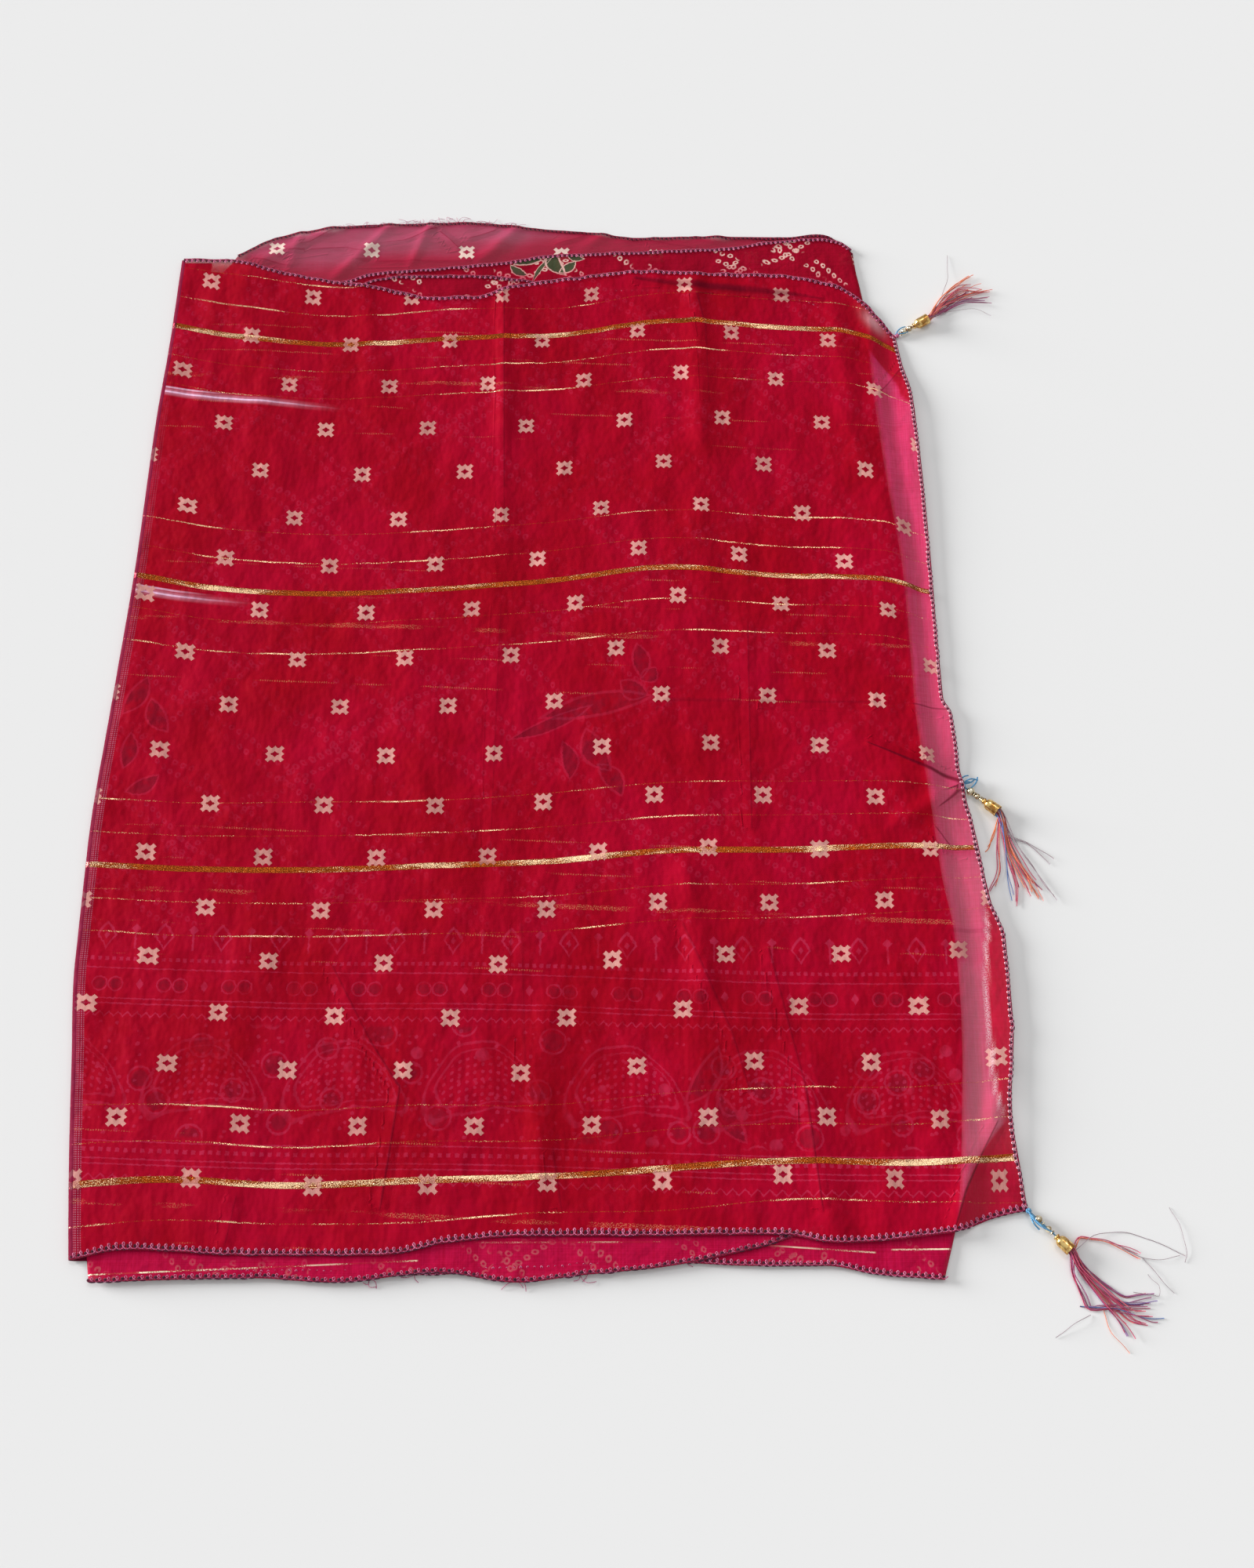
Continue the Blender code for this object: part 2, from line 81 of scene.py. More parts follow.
INNER_NEAR_HEM = ((-384, -384), (-210, -384), (-34, -380), (40, -375), (91, -377), (143, -377),
                  (178, -383), (227, -387))
INNER_FAR_HEM = ((-384, 492), (-345, 490), (-307, 482), (-270, 478), (-241, 483), (-227, 489),
                 (-166, 495), (-108, 501), (-64, 509), (0, 512), (84, 516), (134, 524), (169, 527),
                 (188, 523), (198, 515))
BACK_NEAR_HEM = ((-384, -382), (-210, -382), (-34, -378), (91, -373), (178, -379), (227, -383))
BACK_LEFT_FOLD = ((-385, -382), (-315, -394), (-147, -409), (-59, -409), (76, -402), (201, -396),
                  (400, -386), (470, -370), (510, -344))
BACK_FAR_HEM = ((-344, 510), (-311, 529), (-279, 537), (-235, 543), (-170, 545), (-145, 546),
                (-80, 539), (-35, 535), (8, 529), (60, 530), (142, 530), (170, 533), (186, 526),
                (200, 512))
BACK_MID_FOLD = ((-383, 225), (-337, 238), (-267, 245), (-195, 249), (-133, 248), (-73, 241),
                 (0, 235), (59, 229), (182, 226), (285, 216), (360, 210), (447, 206), (512, 200))
print("rows in the far hems' tables:", [len(hem) for hem in (
    TOP_FAR_HEM, SECOND_FAR_HEM, INNER_FAR_HEM, BACK_FAR_HEM)])


# %% Read a smooth curve through a table
def read_edge(table, along):
    """A cubic in each gap of the table. The slope at a row is the harmonic mean of the two
    beside it, or 0 where they disagree, so that the curve never swings past its rows."""
    at, value = np.array(table, float).T
    rise = np.diff(value) / np.diff(at)
    before, after = rise[:-1], rise[1:]
    agree = before * after > 0
    inner = np.where(agree, 2 * before * after / np.where(agree, before + after, 1.0), 0.0)
    slope = np.concatenate([rise[:1], inner, rise[-1:]])
    along = np.clip(along, at[0], at[-1])
    row = np.clip(np.searchsorted(at, along) - 1, 0, len(at) - 2)
    gap = at[row + 1] - at[row]
    t = (along - at[row]) / gap
    return ((1 + 2 * t) * (1 - t) ** 2 * value[row] + t * (1 - t) ** 2 * gap * slope[row]
            + t * t * (3 - 2 * t) * value[row + 1] + t * t * (t - 1) * gap * slope[row + 1])


def smooth_step(low, high, value):
    """0 below low, 1 above high, and 3 t squared less 2 t cubed in between."""
    t = np.clip((value - low) / (high - low), 0.0, 1.0)
    return t * t * (3 - 2 * t)


class Stretch:
    """One stretch of the folded cloth, bounded by two side edges and two hems."""

    def __init__(self, left, right, near, far):
        self.left, self.right, self.near, self.far = left, right, near, far

    def place(self, u, v):
        """u runs from the left edge to the right, v from the near hem to the far one: x is
        shared out between the side edges, and y between the hems at that x."""
        low = (1 - u) * self.left[0][0] + u * self.right[0][0]
        high = (1 - u) * self.left[-1][0] + u * self.right[-1][0]
        level = (1 - v) * low + v * high
        x = (1 - u) * read_edge(self.left, level) + u * read_edge(self.right, level)
        y = (1 - v) * read_edge(self.near, x) + v * read_edge(self.far, x)
        return x, y

    def past(self, x, y):
        """How far a point lies outside this stretch, past its right side or either hem."""
        side = x - read_edge(self.right, y)
        far = y - read_edge(self.far, x)
        near = read_edge(self.near, x) - y
        return np.maximum(side, np.maximum(far, near))

    def support(self, x, y):
        """1 over this stretch, falling to 0 past its tassel side and past its far hem."""
        past_side = x - read_edge(self.right, y) - 1.0
        past_hem = y - read_edge(self.far, x) - 12.0
        return 1.0 - smooth_step(0.0, 15.0, np.maximum(past_side, past_hem))


TOP = Stretch(TOP_LEFT_FOLD, TOP_TASSEL_END, TOP_NEAR_HEM, TOP_FAR_HEM)
SECOND = Stretch(UNDER_LEFT_FOLD, MID_FOLD, SECOND_NEAR_HEM, SECOND_FAR_HEM)
INNER = Stretch(UNDER_LEFT_FOLD, MID_FOLD, INNER_NEAR_HEM, INNER_FAR_HEM)
BACK = Stretch(BACK_LEFT_FOLD, BACK_MID_FOLD, BACK_NEAR_HEM, BACK_FAR_HEM)

# %% [markdown]
# ## From the tables to the scene
# The tables are measured from the point that the camera looks at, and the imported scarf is
# centred on its own box. One solid's box, held against the same outline, gives the step from
# one to the other, so that nothing is fitted by eye.

# %% Find the step between the two origins
HEM_STEPS, SIDE_STEPS = 18, 22       # how finely the solid's outline was sampled


def outline_box(stretch):
    """Lowest and highest x and y of the stretch's outline, at the solid's own samples."""
    hem, side = np.arange(HEM_STEPS) / HEM_STEPS, np.arange(SIDE_STEPS) / SIDE_STEPS
    u = np.concatenate([hem, np.ones(SIDE_STEPS), 1 - hem, np.zeros(SIDE_STEPS)])
    v = np.concatenate([np.zeros(HEM_STEPS), side, np.ones(HEM_STEPS), 1 - side])
    corner = np.stack(stretch.place(u, v), axis=1)
    return corner.min(axis=0), corner.max(axis=0)


solid_low, solid_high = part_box("back_layer")
drawn_low, drawn_high = outline_box(BACK)
STEP = np.zeros(3)
STEP[:2] = [(solid_low[k] + solid_high[k]) / 2 - (drawn_low[k] + drawn_high[k]) / 2 * MM
            for k in range(2)]
print("step to the packed origin, mm:", np.round(STEP / MM, 2))


def in_scene(points):
    """Points in millimetres of the tables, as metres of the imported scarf."""
    return np.asarray(points, float).reshape(-1, 3) * MM + STEP


# %% [markdown]
# ## Camera, floor and light
# The scarf was seen from its near hem, 66 degrees above the surface. The camera sits on that
# line, 1.67 m from the point that it looks at. The floor is plain and pale. Most of the light
# comes from all round, as in a studio tent; one soft lamp low on the left draws the shadow on
# the right and the relief of the creases, and one from beyond catches the metallic yarn.

# %% Set the camera
ELEVATION, DISTANCE, LENS = math.radians(66.2), 1.67, 48.64


def aimed(direction):
    """The turn that points a lamp's or camera's own -Z along the direction."""
    return Vector(direction).to_track_quat("-Z", "Y").to_euler()


camera_data = bpy.data.cameras.new("camera")
camera_data.lens = LENS
camera_data.sensor_width = 36.0
camera_data.clip_end = 50.0
camera = bpy.data.objects.new("camera", camera_data)
bpy.context.scene.collection.objects.link(camera)
backwards = np.array([0.0, -math.cos(ELEVATION), math.sin(ELEVATION)])
camera.location = STEP + backwards * DISTANCE
camera.rotation_euler = aimed(-backwards)
bpy.context.scene.camera = camera
print("camera at", [round(c, 3) for c in camera.location])

# %% Light the studio
scene = bpy.context.scene
scene.view_settings.view_transform = "Standard"
world = bpy.data.worlds.new("studio")
world.use_nodes = True
HORIZON, OVERHEAD = 0.25, 0.69      # brightness of the tent at its foot and at its top


def light_tent(tree):
    """Brightness rises evenly with the height of the direction that it is seen in."""
    direction = tree.nodes.new("ShaderNodeTexCoord")
    parts = tree.nodes.new("ShaderNodeSeparateXYZ")
    height = tree.nodes.new("ShaderNodeMapRange")
    for socket, value in ((1, 0.0), (2, 1.0), (3, HORIZON), (4, OVERHEAD)):
        height.inputs[socket].default_value = value
    tree.links.new(direction.outputs["Generated"], parts.inputs[0])
    tree.links.new(parts.outputs["Z"], height.inputs[0])
    tree.nodes["Background"].inputs["Color"].default_value = (1.0, 1.0, 1.0, 1.0)
    tree.links.new(height.outputs[0], tree.nodes["Background"].inputs["Strength"])


light_tent(world.node_tree)
scene.world = world


def soft_sun(name, towards, strength, width):
    """A distant lamp: the direction that its light travels in, and how wide it looks."""
    lamp = bpy.data.lights.new(name, "SUN")
    lamp.energy = strength
    lamp.angle = math.radians(width)
    holder = bpy.data.objects.new(name, lamp)
    holder.rotation_euler = aimed(towards)
    scene.collection.objects.link(holder)


soft_sun("low_left", (0.90, -0.30, -0.20), 5.8, 27)
soft_sun("from_beyond", (-0.10, -0.42, -0.90), 0.30, 9)


# %% [markdown]
# ## Shader maths that reads like arithmetic
# A material's pattern is a sum over masks. Wiring Math nodes by hand hides it, so one small
# class wraps a socket and adds the node for each operator. Colours go through Mix nodes, and
# any other node comes from one method.

# %% A number that changes over the surface
class Signal:
    """A value socket with arithmetic: each operator adds its Math node."""

    def __init__(self, finish, socket):
        self.finish, self.socket = finish, socket

    def maths(self, operation, *values):
        node = self.finish.node("ShaderNodeMath", {"operation": operation}, dict(enumerate(values)))
        return Signal(self.finish, node.outputs[0])

    def __add__(self, other):
        return self.maths("ADD", self, other)

    def __sub__(self, other):
        return self.maths("SUBTRACT", self, other)

    def __rsub__(self, other):
        return self.maths("SUBTRACT", other, self)

    def __mul__(self, other):
        return self.maths("MULTIPLY", self, other)

    def __truediv__(self, other):
        return self.maths("DIVIDE", self, other)

    __radd__ = __add__
    __rmul__ = __mul__

    def size(self):
        return self.maths("ABSOLUTE", self)

    def whole(self):
        """The nearest whole number."""
        return self.maths("ROUND", self)

    def sine(self):
        return self.maths("SINE", self)

    def root(self):
        return self.maths("SQRT", self)

    def least(self, other):
        return self.maths("MINIMUM", self, other)

    def most(self, other):
        return self.maths("MAXIMUM", self, other)

    def below(self, other):
        return self.maths("LESS_THAN", self, other)

    def rise(self, low, high):
        """0 below low, 1 above high, smooth in between. With low above high it falls."""
        node = self.finish.node("ShaderNodeMapRange", {"interpolation_type": "SMOOTHSTEP"},
                                {0: self, 1: low, 2: high, 3: 0.0, 4: 1.0})
        return Signal(self.finish, node.outputs[0])

    def from_whole(self):
        """How far it is from the nearest whole number, from -0.5 to 0.5."""
        return self - self.whole()


def highest(signals):
    """The highest of several masks at each place."""
    first, *others = signals
    for other in others:
        first = first.most(other)
    return first


class Finish:
    """A material with a Principled shader. The constants are set on its own sockets."""

    def __init__(self, name, constants):
        self.material = bpy.data.materials.new(name)
        self.material.use_nodes = True
        self.tree = self.material.node_tree
        self.shader = self.tree.nodes["Principled BSDF"]
        for key, value in constants.items():
            self.shader.inputs[key].default_value = value

    def node(self, kind, settings, sockets):
        """Adds a node: its settings first, then the values or links of its sockets."""
        added = self.tree.nodes.new(kind)
        for key, value in settings.items():
            if key == "stops":
                ramp = added.color_ramp
                for stop, (at, colour) in enumerate(value):
                    element = ramp.elements[stop] if stop < 2 else ramp.elements.new(at)
                    element.position, element.color = at, (*colour, 1.0)
            else:
                setattr(added, key, value)
        for key, value in sockets.items():
            if isinstance(value, Signal):
                value = value.socket
            if isinstance(value, bpy.types.NodeSocket):
                self.tree.links.new(value, added.inputs[key])
            elif isinstance(value, tuple) and added.inputs[key].type == "RGBA":
                added.inputs[key].default_value = (*value, 1.0)
            else:
                added.inputs[key].default_value = value
        return added

    def mix(self, mask, first, second):
        """The first colour where the mask is 0, the second where it is 1."""
        node = self.node("ShaderNodeMix", {"data_type": "RGBA"}, {0: mask, 6: first, 7: second})
        return node.outputs[2]

    def uv(self, name):
        """The two coordinates of one of the piece's own UV maps."""
        source = self.node("ShaderNodeUVMap", {"uv_map": name}, {})
        split = self.node("ShaderNodeSeparateXYZ", {}, {0: source.outputs[0]})
        return Signal(self, split.outputs[0]), Signal(self, split.outputs[1])

    def vector(self, x, y, z=0.0):
        return self.node("ShaderNodeCombineXYZ", {}, {0: x, 1: y, 2: z}).outputs[0]

    def noise(self, vector, scale=1.0, detail=2.0, roughness=0.5):
        node = self.node("ShaderNodeTexNoise", {}, {"Vector": vector, "Scale": scale,
                                                    "Detail": detail, "Roughness": roughness})
        return Signal(self, node.outputs[0])

    def cells(self, vector):
        """The distance to the nearest of points that are scattered one to a cell."""
        node = self.node("ShaderNodeTexVoronoi", {}, {"Vector": vector, "Scale": 1.0})
        return Signal(self, node.outputs["Distance"])

    def by_chance(self, vector):
        """One even random number from 0 to 1 for each whole step of the vector."""
        node = self.node("ShaderNodeTexWhiteNoise", {"noise_dimensions": "3D"}, {"Vector": vector})
        return Signal(self, node.outputs[0])

    def attribute(self, name):
        return Signal(self, self.node("ShaderNodeAttribute", {"attribute_name": name}, {}).outputs[2])

    def relief(self, height, strength, distance):
        """A Bump node into the shader's normal; distance is in metres."""
        bump = self.node("ShaderNodeBump", {}, {"Height": height, "Strength": strength,
                                                "Distance": distance})
        self.tree.links.new(bump.outputs[0], self.shader.inputs["Normal"])

    def connect(self, **sockets):
        for key, value in sockets.items():
            if isinstance(value, Signal):
                value = value.socket
            self.tree.links.new(value, self.shader.inputs[key.replace("_", " ")])


# %% Lay the floor
def plain_floor():
    """A square of 24 by 24 m at the scarf's underside, in one matt pale grey."""
    half = 12.0
    mesh = bpy.data.meshes.new("floor")
    mesh.from_pydata([(-half, -half, 0), (half, -half, 0), (half, half, 0), (-half, half, 0)], [],
                     [(0, 1, 2, 3)])
    floor = bpy.data.objects.new("floor", mesh)
    scene.collection.objects.link(floor)
    finish = Finish("pale_floor", {"Base Color": (0.83, 0.83, 0.83, 1.0), "Roughness": 0.9,
                                   "Specular IOR Level": 0.0})
    mesh.materials.append(finish.material)


plain_floor()
print("floor laid")

# %% [markdown]
# ## Heights
# Four stretches lie on each other with a little air between them. The top one swells and is
# creased where it was folded smaller, so its height is a sum: what lies below, two crossing
# trains of slow waves, and a ridge for each crease. Where a lower stretch isn't covered, it
# may lift off the floor in folds of its own.

# %% Heights of the creased top stretch
# A row for each crease: x and y at one end, x and y at the other, height, half width, all mm
CREASES = (
    (-108, 474, -104, 330, 2.6, 9), (-104, 330, -112, 120, 1.1, 13), (-92, 470, -84, 380, 1.2, 9),
    (58, 480, 62, 318, 2.4, 9), (66, 318, 60, 150, 0.9, 14), (46, -80, 60, -165, 2.2, 9),
    (60, -165, 52, -300, 0.9, 13), (-59, -190, -66, -352, 1.8, 10),
    (138, -235, 146, -352, 2.2, 9), (262, -2, 178, 34, 2.4, 7), (262, -2, 214, -34, 2.0, 7),
    (262, -4, 196, 4, 1.5, 6), (272, -262, 238, -340, 2.6, 9), (-330, 480, -300, 300, 1.2, 16),
    (-230, 476, -214, 352, 1.5, 12), (-282, -120, -300, -352, 1.1, 15),
    (-180, 150, -150, -60, 0.9, 17), (180, 440, 196, 300, 1.8, 10), (214, 250, 206, 120, 1.2, 10),
    (-388, 60, -250, 84, 1.0, 14), (-150, 462, -60, 474, 1.6, 12),
)
SWELL = 0.8                          # height of the slow waves, mm
FOLD_ROUND = 5.0                     # how far in from the left fold the cloth comes level, mm
CLOTH, GAP = 1.0, 0.3                # a stretch's share of the pile and the air over it, mm
STAND_OFF = 4.6                      # how high the stiff strip past the pile stands, mm
KNOTS_Y, HELD_REACH, HELD = (424.0, -3.0, -338.0), 42.0, 0.75    # where tassels hold it down
PUCKER, PUCKER_REACH = 0.35, 9.0     # height of the gathers at a hem and how far they run, mm
BACK_LEVEL, INNER_LEVEL, SECOND_LEVEL = 0.5, 1.8, 4.1            # middles of the lower cloths, mm


def crease_height(x, y, creases):
    """The sum of the creases, each a bell-shaped ridge that fades out towards its ends."""
    height = np.zeros_like(x)
    for x0, y0, x1, y1, rise, half_width in creases:
        length = math.hypot(x1 - x0, y1 - y0)
        ax, ay = (x1 - x0) / length, (y1 - y0) / length
        along = (x - x0) * ax + (y - y0) * ay
        across = (y - y0) * ax - (x - x0) * ay
        past = np.maximum(np.maximum(-along, along - length), 0.0)
        height += rise * np.exp(-(across / half_width) ** 2 - (past / (1.5 * half_width)) ** 2)
    return height


def slow_waves(x, y):
    """Low swells between 0 and twice SWELL, from two crossing trains of sine waves."""
    lengthwise = np.sin(x / 31.0 + 0.7 * np.sin(y / 90.0))
    crosswise = np.sin(y / 47.0 + 0.6 * np.sin(x / 70.0) + 1.0)
    return SWELL * (1.0 + 0.6 * lengthwise + 0.4 * crosswise)


def fine_ripples(x, y):
    """Ripples of about a third of a millimetre, 15 to 30 mm long, from sines whose phases
    wander with other sines, so that no train repeats."""
    first = np.sin(x / 4.6 + 2.2 * np.sin(y / 37.0) + 1.3 * np.sin(x / 53.0))
    second = np.sin(y / 5.3 + 1.9 * np.sin(x / 41.0 + 0.8) + 0.9 * np.sin(y / 61.0))
    third = np.sin((x + 1.7 * y) / 8.1 + 1.4 * np.sin((x - y) / 70.0))
    return 0.16 * first + 0.10 * second + 0.14 * third


def top_height(x, y):
    """The pile under the top stretch, its waves, ripples and creases, and half its cloth."""
    leaf = CLOTH + GAP
    pile = leaf * BACK.support(x, y) + (2 * leaf - GAP) * INNER.support(x, y)
    pile = pile + leaf * SECOND.support(x, y)
    off_pile = x - read_edge(MID_FOLD, y)
    held = sum(np.exp(-((y - at) / HELD_REACH) ** 2) for at in KNOTS_Y)
    pile = pile + STAND_OFF * (1.0 - HELD * held) * smooth_step(2.0, 30.0, off_pile)
    from_hem = np.minimum(y - read_edge(TOP_NEAR_HEM, x), read_edge(TOP_FAR_HEM, x) - y)
    gathers = PUCKER * np.sin(x / 3.4 + 1.5 * np.sin(x / 40.0))
    pucker = gathers * np.exp(-np.maximum(from_hem, 0) / PUCKER_REACH)
    height = pile + slow_waves(x, y) + crease_height(x, y, CREASES) + fine_ripples(x, y) + pucker
    return np.maximum(height, 0.2) + 0.5 * CLOTH


# %% Heights of the lower stretches
BACK_FOLDS = (
    (-330, 500, -262, 540, 2.2, 5), (-262, 480, -214, 538, 2.6, 5), (-196, 486, -176, 541, 2.0, 4),
    (-150, 482, -100, 536, 2.8, 6), (-60, 500, -20, 532, 1.6, 5), (20, 506, 80, 528, 1.6, 5),
    (-300, 486, -290, 532, 1.4, 4), (-240, 520, -140, 530, 1.2, 4), (110, 512, 160, 529, 1.5, 5),
    (196, 500, 207, 440, 1.6, 5), (-345, 505, -320, 470, 1.5, 6),
)


def uncovered(x, y, covers):
    """0 under any of the covers, rising to 1 over 14 mm past all of them."""
    past = np.min([cover.past(x, y) for cover in covers], axis=0)
    return smooth_step(0.0, 14.0, past)


def back_height(x, y):
    """Flat where it is covered, with folds of its own along the far hem."""
    free = uncovered(x, y, (TOP, SECOND, INNER))
    return BACK_LEVEL + free * (0.5 + 0.35 * slow_waves(x, y) + crease_height(x, y, BACK_FOLDS)
                                + 2 * fine_ripples(x, y).clip(0))


def loose_lift(x, y, covers):
    """Half the slow waves and some ripples, where none of the covers lies on the cloth."""
    return uncovered(x, y, covers) * (0.5 * slow_waves(x, y) + 1.5 * np.abs(fine_ripples(x, y)))


def inner_height(x, y):
    """Level on the lowest stretch, and loose past the two stretches that cover it."""
    return (CLOTH + GAP) * BACK.support(x, y) + INNER_LEVEL + loose_lift(x, y, (TOP, SECOND))


def second_height(x, y):
    """Level, and loose past the top stretch."""
    return SECOND_LEVEL + loose_lift(x, y, (TOP,))


print("height of the top stretch in its middle, mm:",
      round(float(top_height(np.array([0.0]), np.array([0.0]))[0]), 2))

# %% [markdown]
# ## Where the motifs lie
# The motifs stand in a half-drop lattice, 86 mm wide and 43 mm deep, but the cloth was laid
# askew and stretched a little. A regular lattice would miss them by centimetres. So a chart of
# 9 by 10 points says how many hundredths of a column or row the lattice is off there, and
# a cubic through the chart gives every point of the cloth its own column and row. They go
# into a UV map, and the shader draws the motifs and the metallic stripes in it.

# %% Charts of the lattice
CHART_X, CHART_DX, CHART_Y, CHART_DY = -430.0, 92.0, -390.0, 100.0
COLUMN_PITCH, ROW_PITCH = 86.0, 43.0
LATTICE_X, LATTICE_Y, LATTICE_ROW = -362.0, 424.0, 1.85     # column 0 at x, that row at y
COLUMN_OFF = ((16, 25, 24, 29, 27, 33, 31, 47, 76), (60, 56, 54, 56, 55, 56, 53, 59, 66),
              (103, 87, 85, 84, 83, 80, 78, 74, 58), (117, 107, 104, 103, 103, 103, 104, 101, 111),
              (116, 107, 103, 101, 104, 103, 104, 102, 114), (108, 92, 87, 87, 89, 92, 93, 91, 96),
              (82, 62, 59, 58, 63, 69, 70, 67, 71), (51, 32, 30, 30, 34, 39, 41, 41, 48),
              (28, 10, 7, 8, 16, 21, 27, 28, 28), (6, -3, -9, -6, 11, 20, 20, 15, 9))
ROW_OFF = ((-25, -12, -18, -28, -5, -22, -1, -15, -39), (-3, 0, -17, -12, -16, -3, 3, -5, 4),
           (10, -9, -17, -22, -24, -8, -1, -1, 12), (0, -16, -23, -21, -19, -5, -8, -2, 0),
           (3, -15, -17, -22, -10, 4, 2, -7, -48), (22, -12, -23, -19, -9, 7, 1, -15, -81),
           (41, -1, -20, -17, -2, 20, -4, -22, -103), (42, -1, -15, -11, -4, 12, 7, -15, -139),
           (55, 10, -12, -5, -2, 24, 7, -26, -181), (74, 40, 7, 18, 6, 37, 18, -12, -142))


def cubic_shares(at, count):
    """What share each of the chart's points has in a value read at that place: a cubic
    through the four nearest points."""
    at = np.clip(at, 0, count - 1 - 1e-9)
    cell = np.floor(at).astype(int)
    f = at - cell
    shares = ((-f + 2 * f**2 - f**3) / 2, (2 - 5 * f**2 + 3 * f**3) / 2,
              (f + 4 * f**2 - 3 * f**3) / 2, (-f**2 + f**3) / 2)
    table = np.zeros((at.size, count))
    for k, share in enumerate(shares):
        np.add.at(table, (np.arange(at.size), np.clip(cell + k - 1, 0, count - 1)), share)
    return table


def read_chart(chart, x, y):
    """The chart's value at each point: the cubic shares along x and along y multiplied."""
    chart = np.array(chart, float)
    along_x = cubic_shares((x.ravel() - CHART_X) / CHART_DX, chart.shape[1])
    along_y = cubic_shares((y.ravel() - CHART_Y) / CHART_DY, chart.shape[0])
    return np.einsum("nj,ji,ni->n", along_y, chart, along_x).reshape(x.shape)


def motif_place(x, y):
    """Column and row of the motif lattice at each point of the top stretch."""
    column = (x - LATTICE_X) / COLUMN_PITCH + read_chart(COLUMN_OFF, x, y) / 100
    row = LATTICE_ROW + (LATTICE_Y - y) / ROW_PITCH + read_chart(ROW_OFF, x, y) / 100
    return column, row


print("motif lattice at the middle:", [round(float(c), 2) for c in motif_place(
    np.array(0.0), np.array(0.0))])


# %% [markdown]
# ## From arrays to a piece
# Every new piece is a grid of points worked out as whole arrays. One function turns arrays of
# points and faces into a mesh, with UV maps and values for its finish, and fixes the piece to
# the scarf.

# %% Faces of a grid, and the maker of pieces
def grid_faces(rows, columns, closed=False):
    """Quads between neighbours of a grid; closed joins the last column to the first."""
    index = np.arange(rows * columns).reshape(rows, columns)
    if closed:
        index = np.concatenate([index, index[:, :1]], axis=1)
    return np.stack([index[:-1, :-1], index[:-1, 1:], index[1:, 1:], index[1:, :-1]],
                    axis=-1).reshape(-1, 4)


def make_piece(name, points, faces, finish, maps=None, values=None):
    """A mesh object at the origin that moves with the scarf."""
    mesh = bpy.data.meshes.new(name)
    mesh.from_pydata(in_scene(points), [], np.asarray(faces).tolist())
    corner = np.empty(len(mesh.loops), np.int32)
    mesh.loops.foreach_get("vertex_index", corner)
    for key, uv in (maps or {}).items():
        layer = mesh.uv_layers.new(name=key)
        layer.data.foreach_set("uv", uv.reshape(-1, 2)[corner].astype(np.float32).ravel())
    for key, value in (values or {}).items():
        field = mesh.attributes.new(key, "FLOAT", "POINT")
        field.data.foreach_set("value", value.astype(np.float32).ravel())
    mesh.materials.append(finish.material)
    mesh.shade_smooth()
    piece = bpy.data.objects.new(name, mesh)
    scene.collection.objects.link(piece)
    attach(piece, "root")
    triangles = sum(len(face.vertices) - 2 for face in mesh.polygons)
    print(f"{name}: {triangles} triangles")
    return piece


# %% [markdown]
# ## The print of the other half
# The other half of the scarf is printed: slanting trails of small tied-dot rings, sprays of
# dark leaves, and a deep border along the near hem. The trails and leaves show in the open
# along the far edge, and all of it shows faintly through the cloth above. The patterns are
# functions of the place in millimetres, so two finishes can draw them: the printed cloth's
# draws what lies in the open, and the top stretch's draws what shows through it. The border
# lies wholly under the top stretch, so only that one's finish draws it.

# %% Tied-dot trails and leaves
RING_PITCH, RING_RADIUS, TRAIL_HALF = 7.0, 1.7, 4.8
TRAILS = ((0.80, 60.0, 30.0), (-0.66, 124.0, 52.0))     # slope, spacing along y, shift


def ring_trails(finish, x, y):
    """Rings of pale ink: the distance from the nearest trail and from the nearest ring on it
    give a distance from the ring's middle, and a ring is where that is near its radius."""
    wander = (finish.noise(finish.vector(x * 0.013, y * 0.013), detail=2.0) - 0.5) * 40.0
    rings = []
    for slope, spacing, shift in TRAILS:
        slant = math.hypot(1.0, slope)
        across = ((y + x * slope + wander - shift) / spacing).from_whole() * (spacing / slant)
        off = across.size() - TRAIL_HALF
        along = ((x - y * slope + across * 0.3) / (slant * RING_PITCH)).from_whole() * RING_PITCH
        distance = (off * off + along * along).root()
        rings.append((distance - RING_RADIUS).size().rise(0.95, 0.45))
    return highest(rings)


def leaf(x, y, middle, angle, length, width, bend):
    """Two masks of one leaf, its fill and its outline. Inside, the distance from the bent rib
    is less than its width times 1 less the square of the way to its tip."""
    c, s = math.cos(math.radians(angle)), math.sin(math.radians(angle))
    along = (x - middle[0]) * (c / length) + (y - middle[1]) * (s / length)
    across = (x - middle[0]) * (-s / width) + (y - middle[1]) * (c / width)
    across = across - (along * along - 0.4) * bend
    inside = 1 - along * along - across.size()
    return inside.rise(0.0, 0.14), inside.rise(-0.30, -0.12) * inside.rise(0.12, 0.0)


